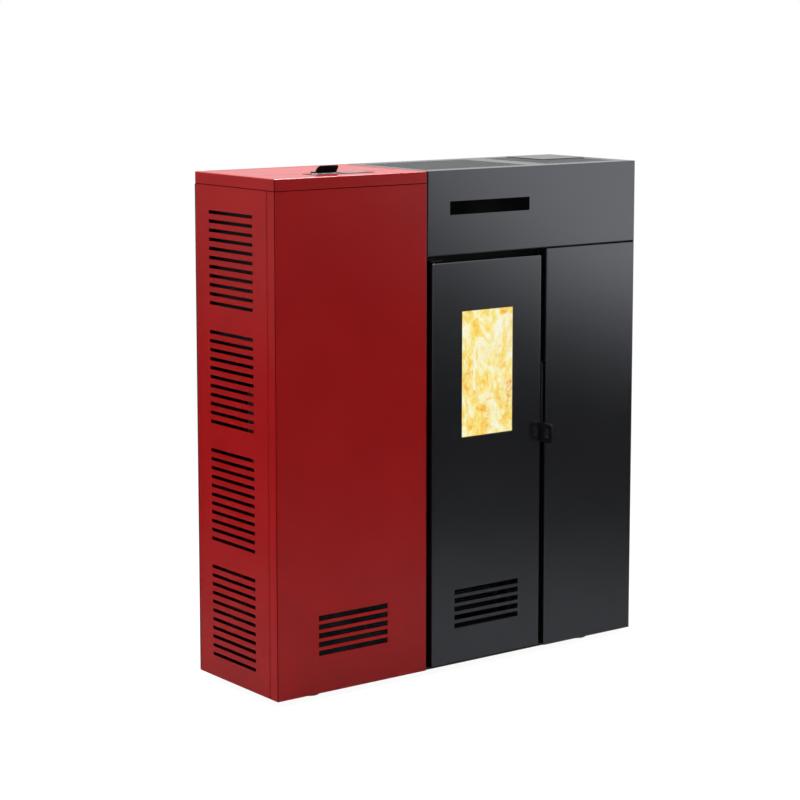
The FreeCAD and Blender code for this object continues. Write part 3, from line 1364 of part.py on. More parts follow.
node(group("heat_exchanger",
           cut("exchanger_header", header_box, *header_cuts),
           cut("exchanger_collector", block("collector_block", *COLLECTOR), *collector_cuts),
           *smoke_tubes))

# Exhaust fan and flue spigot

EXHAUST = ("exhaust_x", "exhaust_y")
OUTLET = ("flue_x", "flue_z")
exhaust_solid = fuse("exhaust_solid",
                     rod("exhaust_drum", "z", "exhaust_radius", EXHAUST, ("exhaust_bottom", "exhaust_top")),
                     rod("exhaust_outlet", "y", "flue_radius + tube_wall", OUTLET,
                         ("exhaust_y", "skin_back - fit")))
exhaust_space = fuse("exhaust_space",
                     rod("exhaust_room", "z", "exhaust_radius - tube_wall", EXHAUST,
                         ("exhaust_bottom + tube_wall", "exhaust_top - tube_wall")),
                     rod("exhaust_outlet_bore", "y", "flue_radius + running", OUTLET,
                         ("exhaust_y", "skin_back - fit")),
                     rod("exhaust_eye", "z", "exhaust_inlet", EXHAUST,
                         ("exhaust_top - tube_wall", "exhaust_top")),
                     rod("exhaust_shaft_bore", "z", "exhaust_shaft + running", EXHAUST,
                         ("exhaust_bottom", "exhaust_bottom + tube_wall")))
node(cut("exhaust_fan_housing", exhaust_solid, exhaust_space))

impeller = doc.addObject("PartDesign::Body", "exhaust_impeller")
place(impeller, *EXHAUST, "exhaust_bottom - exhaust_motor_height / 3")
shaft_sketch = sketch_on(impeller, "impeller_shaft_round", "XY_Plane")
circle(shaft_sketch, "exhaust_shaft")
WHEEL = "exhaust_motor_height / 3 + tube_wall + impeller_gap"
pad(impeller, "impeller_shaft", shaft_sketch, f"{WHEEL} + impeller_height / 2")
for name, radius, height in (("impeller_disc", "exhaust_radius - tube_wall - impeller_gap", "impeller_blade"),
                             ("impeller_boss", "impeller_hub", "impeller_height / 2")):
    disc = sketch_on(impeller, name + "_round", "XY_Plane")
    circle(disc, radius)
    disc.setExpression("AttachmentOffset.Base.z", formula(WHEEL))
    pad(impeller, name, disc, height)
vane_section = sketch_on(impeller, "impeller_vane_section", "XY_Plane")
rectangle(vane_section, ("impeller_hub - impeller_blade",
                         "exhaust_radius - tube_wall - impeller_gap - impeller_blade"),
          ("0", "impeller_blade"))
vane_section.setExpression("AttachmentOffset.Base.z", formula(WHEEL))
vane = pad(impeller, "impeller_vane", vane_section, "impeller_height")
vanes = impeller.newObject("PartDesign::PolarPattern", "impeller_vanes")
vanes.Originals = [vane]
vanes.Axis = (vane_section, ["N_Axis"])
vanes.Angle = 360
vanes.Occurrences = IMPELLER_BLADES
impeller.Tip = vanes
node(impeller)

exhaust_can = rod("exhaust_motor_can", "z", "exhaust_motor_radius", EXHAUST,
                  ("exhaust_bottom - exhaust_motor_height", "exhaust_bottom"))
exhaust_can_bore = rod("exhaust_motor_bore", "z", "exhaust_shaft + running", EXHAUST,
                       ("exhaust_bottom - exhaust_motor_height / 3 - fit", "exhaust_bottom"))
node(cut("exhaust_fan_motor", exhaust_can, exhaust_can_bore))

FLUE_Y = ("skin_back - flue_insert", "back + flue_reach")
flue_solid = fuse("flue_solid",
                  rod("flue_pipe", "y", "flue_radius", OUTLET, FLUE_Y),
                  rod("flue_rosette", "y", "flue_radius + flue_collar", OUTLET, ("back", "back + tube_wall")))
node(cut("flue_spigot", flue_solid, rod("flue_bore", "y", "flue_radius - pipe_wall", OUTLET, FLUE_Y)))

# Control board on the hopper's front wall

BOARD_X = ("bay_middle - board_width / 2", "bay_middle + board_width / 2")
BOARD_Z = ("board_bottom", "board_bottom + board_height")
BOARD_Y = ("hopper_front - board_spacer - board_thickness", "hopper_front - board_spacer")
board_pieces = [block("board_sheet", BOARD_X, BOARD_Y, BOARD_Z)]
for i, (x, z) in enumerate(((0.06, 0.08), (0.94, 0.08), (0.06, 0.92), (0.94, 0.92))):
    board_pieces.append(rod(f"board_spacer_{i}", "y", "screw_head",
                            (f"{BOARD_X[0]} + {x} * board_width", f"{BOARD_Z[0]} + {z} * board_height"),
                            (BOARD_Y[1], "hopper_front")))
for i, (x, z, wide, high, tall) in enumerate(((0.12, 0.2, 0.25, 0.3, 1.6), (0.45, 0.18, 0.14, 0.2, 1.2),
                                              (0.64, 0.18, 0.14, 0.2, 1.2), (0.3, 0.62, 0.3, 0.22, 0.4),
                                              (0.7, 0.6, 0.2, 0.26, 0.7))):
    board_pieces.append(block(f"board_part_{i}",
                              (f"{BOARD_X[0]} + {x} * board_width",
                               f"{BOARD_X[0]} + {x + wide} * board_width"),
                              (f"{BOARD_Y[0]} - {tall} * board_spacer", BOARD_Y[0]),
                              (f"{BOARD_Z[0]} + {z} * board_height",
                               f"{BOARD_Z[0]} + {z + high} * board_height")))
node(fuse("control_board", *board_pieces))

# Mains inlet with its rocker switch, and the safety thermostat above

INLET_MIDDLE = "inlet_x + inlet_width / 2"
inlet_case = fuse("inlet_case",
                  block("inlet_body", INLET_X, ("back - inlet_depth", "back"), INLET_Z),
                  block("inlet_plate", beyond(INLET_X, "inlet_flange_lap"), ("back", "back + inlet_flange"),
                        beyond(INLET_Z, "inlet_flange_lap")))
socket = block("inlet_socket", beyond((INLET_MIDDLE, INLET_MIDDLE), "socket_width / 2"),
               ("back + inlet_flange - socket_depth", "back + inlet_flange"),
               beyond(("socket_z", "socket_z"), "socket_height / 2"))
rocker_well = block("rocker_well", beyond((INLET_MIDDLE, INLET_MIDDLE), "rocker_width / 2 + fit"),
                    ("back + inlet_flange - rocker_depth", "back + inlet_flange"),
                    beyond(("rocker_z", "rocker_z"), "rocker_height / 2 + 3 * fit"))
blade_pins = [block(f"inlet_pin_{i}", beyond((f"{INLET_MIDDLE} + ({dx}) * socket_width",) * 2,
                                             "inlet_pin_width / 2"),
                    ("back + inlet_flange - socket_depth", "back - inlet_pin_setback"),
                    beyond((f"socket_z + ({dz}) * socket_height",) * 2, "inlet_pin_height / 2"))
              for i, (dx, dz) in enumerate(((-0.29, -0.1), (0.0, 0.15), (0.29, -0.1)))]
axle_bore = rod("rocker_axle_bore", "x", "rocker_axle_radius + running", ("rocker_y", "rocker_z"),
                beyond((INLET_MIDDLE, INLET_MIDDLE), "rocker_width / 2 + 4 * fit"))
node(fuse("mains_inlet", cut("inlet_hollow", inlet_case, socket, rocker_well, axle_bore), *blade_pins))

rocker = doc.addObject("PartDesign::Body", "switch_rocker_body")
place(rocker, f"{INLET_MIDDLE} - rocker_width / 2", "rocker_y", "rocker_z - rocker_height / 2")
rocker_side = sketch_on(rocker, "rocker_side", "YZ_Plane")
outline(rocker_side, [("0", "rocker_height / 4"),
                      ("rocker_axis_depth", "0"),
                      ("rocker_axis_depth + rocker_dip", "rocker_height / 2"),
                      ("rocker_axis_depth + rocker_rise", "rocker_height"),
                      ("0", "rocker_height * 3 / 4")])
pad(rocker, "rocker_pad", rocker_side, "rocker_width")
rocker_axle = rod("rocker_axle", "x", "rocker_axle_radius", ("rocker_y", "rocker_z"),
                  beyond((INLET_MIDDLE, INLET_MIDDLE), "rocker_width / 2 + 3 * fit"))
node(fuse("switch_rocker", rocker, rocker_axle))

THERMOSTAT = (INLET_MIDDLE, "thermostat_z")
thermostat_can = rod("thermostat_can", "y", "thermostat_radius", THERMOSTAT,
                     ("skin_back - thermostat_depth", "skin_back"))
thermostat_well = rod("thermostat_well", "y", "button_head + running", THERMOSTAT,
                      ("skin_back - thermostat_depth / 2", "skin_back"))
node(cut("safety_thermostat", thermostat_can, thermostat_well))

button_cap = rod("button_cap", "y", "button_radius", THERMOSTAT, ("skin_back - sheet", "back + button_proud"))
button_foot = rod("button_foot", "y", "button_head", THERMOSTAT, ("skin_back - 2 * sheet", "skin_back"))
node(fuse("reset_button", button_cap, button_foot))

# Check every object, then write each piece

doc.recompute()
bad = [item.Name for item in doc.Objects if {"Invalid", "Error"} & set(item.State)]
bad += [item.Label for item in NODES
        if item.Shape.isNull() or not item.Shape.isValid() or not item.Shape.Solids]
if bad:
    raise ValueError("failed: " + ", ".join(bad))
os.makedirs("parts", exist_ok=True)
for item in NODES:
    item.Shape.exportStep(f"parts/{item.Label}.step")
print(len(NODES), "pieces written")
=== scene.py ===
import json
import math
import random

import bmesh
import bpy
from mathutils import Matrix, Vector


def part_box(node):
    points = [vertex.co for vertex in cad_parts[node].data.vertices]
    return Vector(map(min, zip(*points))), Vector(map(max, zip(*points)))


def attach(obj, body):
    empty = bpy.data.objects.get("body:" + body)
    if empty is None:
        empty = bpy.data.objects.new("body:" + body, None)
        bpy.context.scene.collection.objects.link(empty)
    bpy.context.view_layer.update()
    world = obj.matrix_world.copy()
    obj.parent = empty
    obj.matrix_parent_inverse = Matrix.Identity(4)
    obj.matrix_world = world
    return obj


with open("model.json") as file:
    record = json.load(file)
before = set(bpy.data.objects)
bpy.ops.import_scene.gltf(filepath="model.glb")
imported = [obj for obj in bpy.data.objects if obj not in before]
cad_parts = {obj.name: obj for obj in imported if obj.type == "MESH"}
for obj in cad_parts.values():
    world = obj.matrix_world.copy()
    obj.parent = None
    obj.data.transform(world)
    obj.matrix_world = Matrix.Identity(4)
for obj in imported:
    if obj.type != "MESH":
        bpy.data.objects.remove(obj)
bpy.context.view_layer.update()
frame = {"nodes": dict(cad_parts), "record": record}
scene = bpy.context.scene
scene.view_settings.view_transform = "Standard"

# Camera, placed by the photograph's perspective: radians, metres and pixels of an 800 pixel frame
FRAME_PIXELS = 800
FOCAL_PIXELS = 2281.48
SENSOR = 36.0
CAMERA_PLACE = (-2.8065, -3.6521, 1.3149)
CAMERA_YAW = 0.6453
CAMERA_PITCH = 0.1330
CAMERA_SHIFT = -0.10
CAMERA_REACH = 100.0

# Studio: the floor, the even light, and how white the camera sees the floor by its distance
WHITE = (1.0, 1.0, 1.0, 1.0)
BLACK = (0.0, 0.0, 0.0, 1.0)
FLOOR_SIZE = 60.0
STUDIO_LIGHT = 0.62
PAPER_MOTTLE = 0.8
PAPER_GREYS = ((0.3, 0.80), (0.7, 0.84))
FLOOR_VEIL = (0.95, 1.0)
VEIL_SPAN = (1.0, 2.6)
SEEN_RAYS = ("Is Camera Ray", "Is Transmission Ray")
GLOSS_RAYS = ("Is Glossy Ray",)

# What gloss sees: the near floor by distance, the far floor along a slant, and the sky by height
NEAR_REACH = 10.0
NEAR_FLOOR = ((0.0, 0.28), (0.6, 0.26), (1.6, 0.08), (2.6, 0.03), (10.0, 0.03))
FAR_GATE = (3.3, 8.6)
FAR_SPAN = (-2.0, 4.0)
FAR_SLANT = 0.62
FAR_FLOOR = ((-2.0, 0.35), (-0.74, 0.35), (-0.57, 0.26), (-0.45, 0.06), (0.2, 0.01), (0.5, 0.02),
             (0.78, 0.09), (1.05, 0.31), (1.2, 0.34), (1.84, 1.12), (2.4, 1.12), (3.0, 1.2), (4.0, 1.2))
FAR_LIFT = (1.4, 1.0)
LIFT_SPAN = (8.2, 9.6)
SKY_GLOSS = ((0.0, 0.60), (0.12, 0.65), (0.45, 0.9), (1.0, 1.0))

# Soft lights: place, aim, size in metres, watts, and whether gloss mirrors them
SOFTBOXES = {
    "key_light": ((-4.4, -0.5, 2.4), (0.0, 0.0, 0.5), (3.0, 3.0), 215.0, False),
    "top_light": ((0.1, 0.20, 2.9), (0.0, 0.1, 0.5), (2.4, 1.4), 470.0, True),
}

# Fire, in metres: the chamber that the flames fill and the burn pot that they leave
CHAMBER_X = (-0.0385, 0.1570)
CHAMBER_Y = (-0.0980, 0.0430)
POT = Vector((0.0585, -0.020, 0.0))
POT_RADIUS = 0.038
POT_RIM = 0.4475

# Body of the fire: its levels, how far each has spread to the walls, and waves (turns, drift, depth)
BLAZE_STEPS = 28
BLAZE_SIDES = 96
BLAZE_SQUARE = 14
BLAZE_WAVES = ((7, 40, 0.05), (13, -60, 0.03))
FLAME_FOOT = 0.420
RIM_FLARE = 1.05
FLAME_BOWL = ((0.4500, 0.40), (0.4530, 0.68), (0.4565, 0.88))
FLAME_SPREAD = 0.461
FLAME_TOP = 0.735
FLAME_FILL = 1.07
TOP_CLOSING = 0.35

# Flame tongues: a grid of spots, the line that each follows, its swell and its waves
TONGUE_ROWS = (-0.082, -0.048, -0.012, 0.020)
TONGUE_COLUMNS = (-0.022, 0.012, 0.046, 0.082, 0.114, 0.142)
TONGUE_LEVELS = 22
TONGUE_SIDES = 18
TONGUE_START = 0.12
TONGUE_RUN = 0.88
TONGUE_SWELL = (0.75, 0.8)
TONGUE_TIP = 0.0004
TONGUE_WAVES = ((3, 5, 0.10), (5, -9, 0.06))
TONGUE_ROOT = 0.42
TONGUE_LEAN = 0.35
BELLY_LEVEL = (0.50, 0.05)
TIP_STRAY = (0.02, 0.012)
TIP_DROP = 0.05
TONGUE_RADIUS = (0.030, 0.008)
FRONT_CROWN = 0.772
LICK_LINE = ((0.150, -0.088, 0.535), (0.142, -0.094, 0.560), (0.150, -0.088, 0.592))
LICK_RADIUS = 0.014

# Glowing pellets, in metres: their heap, their stray, and each one's ends as share and radius
FIRE_SEED = 7
EMBER_FLOOR = 0.3550
EMBER_LIFT = 0.0062
PELLET_LAYERS = 5
PELLETS_ACROSS = 5
PELLET_PITCH = 0.016
PELLET_STRAY = 0.003
LAYER_RISE = 0.0135
PELLET_TILT = 0.7
PELLET_HALF = (0.006, 0.003)
PELLET_ENDS = ((-1.0, 0.0024), (-0.9, 0.003), (0.9, 0.003), (1.0, 0.0024))
PELLET_SIDES = 10

# Colours of the fire by heat
HOT = ((0.22, (0.92, 0.32, 0.06)), (0.36, (1.0, 0.62, 0.10)), (0.53, (1.0, 0.82, 0.25)),
       (0.67, (1.0, 0.94, 0.53)), (0.83, (1.0, 1.0, 0.90)))
RED_HOT = ((0.25, (0.70, 0.17, 0.06)), (0.45, (0.84, 0.27, 0.14)), (0.65, (0.95, 0.42, 0.24)),
           (0.85, (1.0, 0.66, 0.40)))
EMBER = ((0.30, (0.02, 0.004, 0.002)), (0.45, (0.35, 0.035, 0.005)), (0.62, (0.95, 0.22, 0.02)),
         (0.85, (1.0, 0.60, 0.12)))
FIRES = 3
FIRE_STEP = 3.1
FOLD_SHARE = 0.62
STREAK_SHARE = 0.55

# Touch glass on the top, in metres: the display and the marks
TOUCH_LEVEL = 1.0136
TOUCH_HEIGHT = 0.00015
MARK_ROW = -0.0765
DISPLAY_PLACE = (-0.2265, MARK_ROW)
DISPLAY_SIZE = (0.056, 0.026)
DISPLAY_ROUND = 0.003
POWER_X = -0.3180
LESS_X = -0.2955
MORE_X = -0.2730
POWER_RADIUS = 0.0055
POWER_LINE = 0.0011
POWER_ARC = (math.pi * 0.68, math.pi * 2.32)
BAR_RISE = 0.0038
BAR_LENGTH = 0.0052
MARK_LENGTH = 0.0095
MARK_LINE = 0.0012
MARK_ROUND = 0.0004
ARM_RISE = 0.0028
ARM_LENGTH = 0.0038

# Dark strips that paint shade into the seams, and a dark film that paints a shadow line along the casing's
# front corner, in metres
SHADE_STRIP_THICKNESS = 0.0010
SHADE_STRIP_RECESS = 0.0005
SHADE_STRIP_ROUND = 0.0004
CORNER_RADIUS = 0.0023
CORNER_SHADE_FILM = 0.00006
CORNER_TURN = (math.radians(200.0), math.radians(242.0))

# Black sheets behind the hopper casing's vents, painted shade that makes the vents read dark, in metres:
# middle and size in x and z
VENT_SHADE_DEPTH = 0.003
VENT_SHADE_ROUND = 0.006
FRONT_VENT_SHADE = ((-0.2745, 0.1271), (0.178, 0.092))
BACK_VENT_SHADE = ((-0.2745, 0.5728), (0.168, 0.198))
SHEET = 0.0015


class Nodes:
    """A node tree: adds nodes, and links or sets their sockets."""

    def __init__(self, tree):
        self.tree = tree

    def put(self, socket, value):
        """Link another node's output to a socket, or set the socket to a constant."""
        if isinstance(value, bpy.types.NodeSocket):
            self.tree.links.new(value, socket)
        else:
            socket.default_value = value

    def add(self, kind, settings=(), order=(), **sockets):
        """A node: order feeds its sockets in turn, and names feed them by name."""
        node = self.tree.nodes.new(kind)
        for key, value in dict(settings).items():
            setattr(node, key, value)
        for socket, value in zip(node.inputs, order):
            self.put(socket, value)
        for key, value in sockets.items():
            self.put(node.inputs[key.replace("_", " ")], value)
        return node

    def maths(self, operation, *values):
        return self.add("ShaderNodeMath", {"operation": operation}, values).outputs["Value"]

    def vectors(self, operation, result, *values):
        return self.add("ShaderNodeVectorMath", {"operation": operation}, values).outputs[result]

    def mix(self, share, first, second):
        return self.add("ShaderNodeMixShader", (), (share, first, second)).outputs["Shader"]

    def spread(self, value, low, high, start=0.3, end=0.7):
        """A value spread over a range."""
        return self.add("ShaderNodeMapRange", Value=value, From_Min=start, From_Max=end, To_Min=low,
                        To_Max=high).outputs["Result"]

    def ramp(self, value, stops):
        """A colour for a value, between stops."""
        node = self.add("ShaderNodeValToRGB", Fac=value)
        band = node.color_ramp
        while len(band.elements) < len(stops):
            band.elements.new(0.5)
        for element, (where, colour) in zip(band.elements, stops):
            element.position = where
            element.color = (*colour, 1.0)
        return node.outputs["Color"]

    def rays(self, kinds):
        """One where the ray is of any of these kinds."""
        path = self.add("ShaderNodeLightPath")
        total = path.outputs[kinds[0]]
        for kind in kinds[1:]:
            total = self.maths("MAXIMUM", total, path.outputs[kind])
        return total


class Finish(Nodes):
    """A node material: a Principled shader and the texture nodes that feed it."""

    def __init__(self, name):
        self.material = bpy.data.materials.new(name)
        self.material.use_nodes = True
        super().__init__(self.material.node_tree)
        self.shader = self.tree.nodes["Principled BSDF"]
        self.place = self.add("ShaderNodeTexCoord").outputs["Object"]

    def stretched(self, scale, shift=(0.0, 0.0, 0.0)):
        """Object coordinates stretched by a scale on each axis, then shifted."""
        return self.add("ShaderNodeMapping", Vector=self.place, Location=shift,
                        Scale=scale).outputs["Vector"]

    def noise(self, scale, detail=3.0, place=None, distortion=0.0):
        return self.add("ShaderNodeTexNoise", Vector=place or self.place, Scale=scale, Detail=detail,
                        Distortion=distortion).outputs["Fac"]

    def cells(self, scale, place):
        return self.add("ShaderNodeTexVoronoi", Vector=place, Scale=scale).outputs["Color"]

    def feed(self, **sockets):
        """Link textures, or set constants, on the shader's own sockets."""
        for key, value in sockets.items():
            self.put(self.shader.inputs[key.replace("_", " ")], value)

    def relief(self, height, strength, depth):
        bump = self.add("ShaderNodeBump", Height=height, Strength=strength, Distance=depth)
        self.put(self.shader.inputs["Normal"], bump.outputs["Normal"])


def paint(name, dark, light, rough, grain, peel, specular=0.5, ior=1.5, sheen=(1.0, 1.0, 1.0)):
    """Sprayed paint: a faint mottle, fine grain in the gloss and an orange-peel relief."""
    finish = Finish(name)
    fine = finish.noise(grain, detail=2.0)
    mottle = finish.noise(scale=9.0, detail=4.0)
    finish.feed(Base_Color=finish.ramp(mottle, ((0.35, dark), (0.65, light))),
                Roughness=finish.spread(fine, *rough), Specular_IOR_Level=specular, IOR=ior,
                Specular_Tint=(*sheen, 1.0))
    finish.relief(fine, peel, depth=0.0004)
    return finish.material


def metal(name, dark, light, rough, scale, stretch=(1.0, 1.0, 1.0), spangle=False):
    """Bare metal with brushing along a stretch, or with zinc spangle."""
    finish = Finish(name)
    place = finish.stretched(stretch)
    value = finish.cells(scale, place) if spangle else finish.noise(scale, 5.0, place)
    finish.feed(Base_Color=finish.ramp(value, ((0.25, dark), (0.75, light))),
                Roughness=finish.spread(finish.noise(scale * 2, 3.0, place), *rough), Metallic=1.0)
    finish.relief(finish.noise(scale * 3, 3.0, place), strength=0.05, depth=0.0003)
    return finish.material


def cast(name, dark, light, rough, scale, metallic):
    """Cast metal with a sandy skin."""
    finish = Finish(name)
    sand = finish.noise(scale, detail=6.0)
    cloud = finish.noise(scale / 12, detail=5.0)
    finish.feed(Base_Color=finish.ramp(cloud, ((0.3, dark), (0.7, light))),
                Roughness=finish.spread(sand, *rough), Metallic=metallic)
    finish.relief(sand, strength=0.35, depth=0.0008)
    return finish.material


def moulded(name, dark, light, rough, scale=1400.0, specular=0.5):
    """Moulded plastic, rubber or foam with a fine spark texture."""
    finish = Finish(name)
    spark = finish.noise(scale, detail=2.0)
    cloud = finish.noise(scale=40.0, detail=3.0)
    finish.feed(Base_Color=finish.ramp(cloud, ((0.35, dark), (0.65, light))),
                Roughness=finish.spread(spark, *rough), Specular_IOR_Level=specular)
    finish.relief(spark, strength=0.12, depth=0.0003)
    return finish.material


def clear_glass(name):
    """Ceramic glass, faintly warm, with a trace of soot in its gloss."""
    finish = Finish(name)
    haze = finish.noise(scale=14.0, detail=4.0)
    finish.feed(Base_Color=finish.ramp(haze, ((0.3, (0.94, 0.92, 0.88)), (0.7, (0.99, 0.98, 0.96)))),
                Roughness=finish.spread(haze, low=0.0, high=0.02), IOR=1.45, Transmission_Weight=1.0)
    return finish.material


def rope(name):
    """Glass-fibre rope: a twill of fine strands."""
    finish = Finish(name)
    strands = finish.add("ShaderNodeTexWave", {"wave_type": "BANDS", "bands_direction": "DIAGONAL"},
                         Vector=finish.place, Scale=260.0, Distortion=2.5, Detail=2.0).outputs["Fac"]
    finish.feed(Base_Color=finish.ramp(strands, ((0.2, (0.035, 0.035, 0.036)), (0.8, (0.11, 0.108, 0.105)))),
                Roughness=finish.spread(strands, low=0.95, high=0.8))
    finish.relief(strands, strength=0.6, depth=0.001)
    return finish.material


def board(name):
    """Circuit board: solder mask with pale tracks."""
    finish = Finish(name)
    tracks = finish.add("ShaderNodeTexBrick", Vector=finish.stretched((60.0, 60.0, 60.0)), Scale=1.4,
                        Color1=(0.012, 0.10, 0.035, 1.0), Color2=(0.016, 0.13, 0.045, 1.0),
                        Mortar=(0.05, 0.22, 0.09, 1.0)).outputs["Color"]
    finish.feed(Base_Color=tracks, Roughness=finish.spread(finish.noise(200.0), low=0.3, high=0.5))
    return finish.material


def flame(name, seed, stops=HOT, strength=1.05):
    """Fire: hot streaks over cooler folds; light only."""
    finish = Finish(name)
    place = finish.stretched((1.0, 1.0, 0.7), (seed, seed * 0.7, seed * 0.3))
    folds = finish.noise(scale=17.0, detail=3.0, place=place, distortion=2.4)
    streaks = finish.noise(scale=44.0, detail=4.0, place=place, distortion=3.2)
    heat = finish.maths("MULTIPLY_ADD", streaks, STREAK_SHARE,
                        finish.spread(folds, low=0.0, high=FOLD_SHARE, start=0.3, end=0.72))
    finish.feed(Base_Color=BLACK, Emission_Color=finish.ramp(heat, stops), Emission_Strength=strength,
                Roughness=finish.spread(folds, low=0.8, high=1.0), Specular_IOR_Level=0.0)
    return finish.material


# Finishes: the record's slots first, then those of pieces that only the scene has
FINISH_TABLE = {
    "red_enamel": (paint, dict(dark=(0.110, 0.0008, 0.0010), light=(0.118, 0.0011, 0.0013),
                               rough=(0.15, 0.20), grain=700.0, peel=0.03, specular=0.36)),
    "black_enamel": (paint, dict(dark=(0.0022, 0.0023, 0.0027), light=(0.0030, 0.0031, 0.0036),
                                 rough=(0.14, 0.19), grain=900.0, peel=0.02, ior=2.1,
                                 sheen=(0.88, 0.91, 1.0))),
    "matt_black_steel": (paint, dict(dark=(0.004, 0.004, 0.004), light=(0.007, 0.007, 0.007),
                                     rough=(0.5, 0.65), grain=1200.0, peel=0.12, specular=0.12)),
    "galvanised_steel": (metal, dict(dark=(0.42, 0.43, 0.45), light=(0.62, 0.63, 0.65),
                                     rough=(0.32, 0.5), scale=120.0, spangle=True)),
    "stove_steel": (paint, dict(dark=(0.022, 0.022, 0.023), light=(0.035, 0.034, 0.034),
                                rough=(0.6, 0.8), grain=900.0, peel=0.2, specular=0.3)),
    "cast_iron": (cast, dict(dark=(0.030, 0.028, 0.027), light=(0.065, 0.060, 0.056),
                             rough=(0.55, 0.8), scale=420.0, metallic=0.4)),
    "bright_steel": (metal, dict(dark=(0.50, 0.50, 0.50), light=(0.68, 0.68, 0.68),
                                 rough=(0.22, 0.38), scale=90.0, stretch=(1.0, 14.0, 14.0))),
    "cast_aluminium": (cast, dict(dark=(0.52, 0.52, 0.54), light=(0.66, 0.66, 0.68),
                                  rough=(0.4, 0.55), scale=500.0, metallic=1.0)),
    "motor_paint": (paint, dict(dark=(0.010, 0.010, 0.011), light=(0.016, 0.016, 0.018),
                                rough=(0.5, 0.65), grain=800.0, peel=0.1, specular=0.2)),
    "ceramic_glass": (clear_glass, {}),
    "control_glass": (moulded, dict(dark=(0.012, 0.012, 0.014), light=(0.018, 0.018, 0.021),
                                    rough=(0.45, 0.55), scale=300.0, specular=0.02)),
    "black_plastic": (moulded, dict(dark=(0.010, 0.010, 0.011), light=(0.016, 0.016, 0.017),
                                    rough=(0.45, 0.6))),
    "circuit_board": (board, {}),
    "foot_rubber": (moulded, dict(dark=(0.012, 0.012, 0.012), light=(0.02, 0.02, 0.02),
                                  rough=(0.7, 0.85))),
    "gasket_rope": (rope, {}),
    "handle_satin": (paint, dict(dark=(0.0022, 0.0022, 0.0024), light=(0.0030, 0.0030, 0.0033),
                                 rough=(0.26, 0.34), grain=1500.0, peel=0.05, specular=0.3)),
    "touch_print": (moulded, dict(dark=(0.30, 0.30, 0.31), light=(0.38, 0.38, 0.39),
                                  rough=(0.5, 0.6), scale=900.0, specular=0.2)),
    "touch_screen": (moulded, dict(dark=(0.030, 0.033, 0.038), light=(0.042, 0.046, 0.052),
                                   rough=(0.3, 0.4), scale=500.0, specular=0.2)),
    # Painted shade: unreflecting near-black strips for the seams, dark red on the casing and black by the
    # right panel
    "seam_seal": (moulded, dict(dark=(0.022, 0.0004, 0.0004), light=(0.030, 0.0007, 0.0007),
                                rough=(0.90, 0.96), scale=900.0, specular=0.0)),
    "fascia_seal": (moulded, dict(dark=(0.0015, 0.0015, 0.0016), light=(0.0025, 0.0025, 0.0026),
                                  rough=(0.90, 0.96), scale=900.0, specular=0.0)),
    # Painted shade: near-black sheets set behind the vents
    "filter_foam": (moulded, dict(dark=(0.0020, 0.0020, 0.0021), light=(0.0045, 0.0045, 0.0047),
                                  rough=(0.92, 0.98), scale=260.0, specular=0.0)),
    **{f"fire_{i}": (flame, dict(seed=FIRE_STEP * i)) for i in range(FIRES)},
    "embers": (flame, dict(seed=5.7, stops=EMBER, strength=0.9)),
    "red_fire": (flame, dict(seed=8.3, stops=RED_HOT)),
}
FINISHES = {name: make(name, **look) for name, (make, look) in FINISH_TABLE.items()}

# Nodes that look darker than the rest of their slot
OWN_FINISH = {"auger_tube": "stove_steel", "handle_lever": "handle_satin"}


def dress(piece, material):
    piece.data.materials.clear()
    piece.data.materials.append(material)


for row in frame["record"]["subparts"]:
    look = OWN_FINISH.get(row["node"], row["material_slot"])
    dress(frame["nodes"][row["node"]], FINISHES[look])


def show(name, build, look, body):
    """Make a mesh piece, give it a finish and let it ride on a body."""
    shape = bmesh.new()
    build(shape)
    mesh = bpy.data.meshes.new(name)
    shape.to_mesh(mesh)
    shape.free()
    piece = bpy.data.objects.new(name, mesh)
    scene.collection.objects.link(piece)
    dress(piece, FINISHES[look])
    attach(piece, body)


# Flames that rise from the burn pot and fill the chamber

def within(value, span):
    return min(max(value, span[0]), span[1])


def walls(shape, low, high):
    """Faces between two rings."""
    around = len(low)
    for k in range(around):
        shape.faces.new((low[k], low[(k + 1) % around], high[(k + 1) % around], high[k]))


def skin(shape, rings):
    """Close a stack of rings into one smooth skin."""
    for low, high in zip(rings, rings[1:]):
        walls(shape, low, high)
    shape.faces.new(rings[0][::-1])
    shape.faces.new(rings[-1])
    for face in shape.faces:
        face.smooth = True


def tongue(foot, belly, tip, radius):
    """A flame tongue: rings along a swaying line, round at the foot and drawn out to a tip."""
    low, full = TONGUE_SWELL

    def build(shape):
        rings = []
        for i in range(TONGUE_LEVELS):
            t = i / (TONGUE_LEVELS - 1)
            line = (1 - t) ** 2 * foot + 2 * t * (1 - t) * belly + t ** 2 * tip
            bulge = math.sin(math.pi * (TONGUE_START + TONGUE_RUN * t) ** low)
            swell = radius * bulge ** full + TONGUE_TIP
            ring = []
            for k in range(TONGUE_SIDES):
                a = 2 * math.pi * k / TONGUE_SIDES
                ripple = 1 + sum(deep * math.sin(turns * a + drift * t)
                                 for turns, drift, deep in TONGUE_WAVES)
                x = within(line.x + swell * ripple * math.cos(a), CHAMBER_X)
                y = within(line.y + swell * ripple * math.sin(a), CHAMBER_Y)
                ring.append(shape.verts.new((x, y, line.z)))
            rings.append(ring)
        skin(shape, rings)
    return build


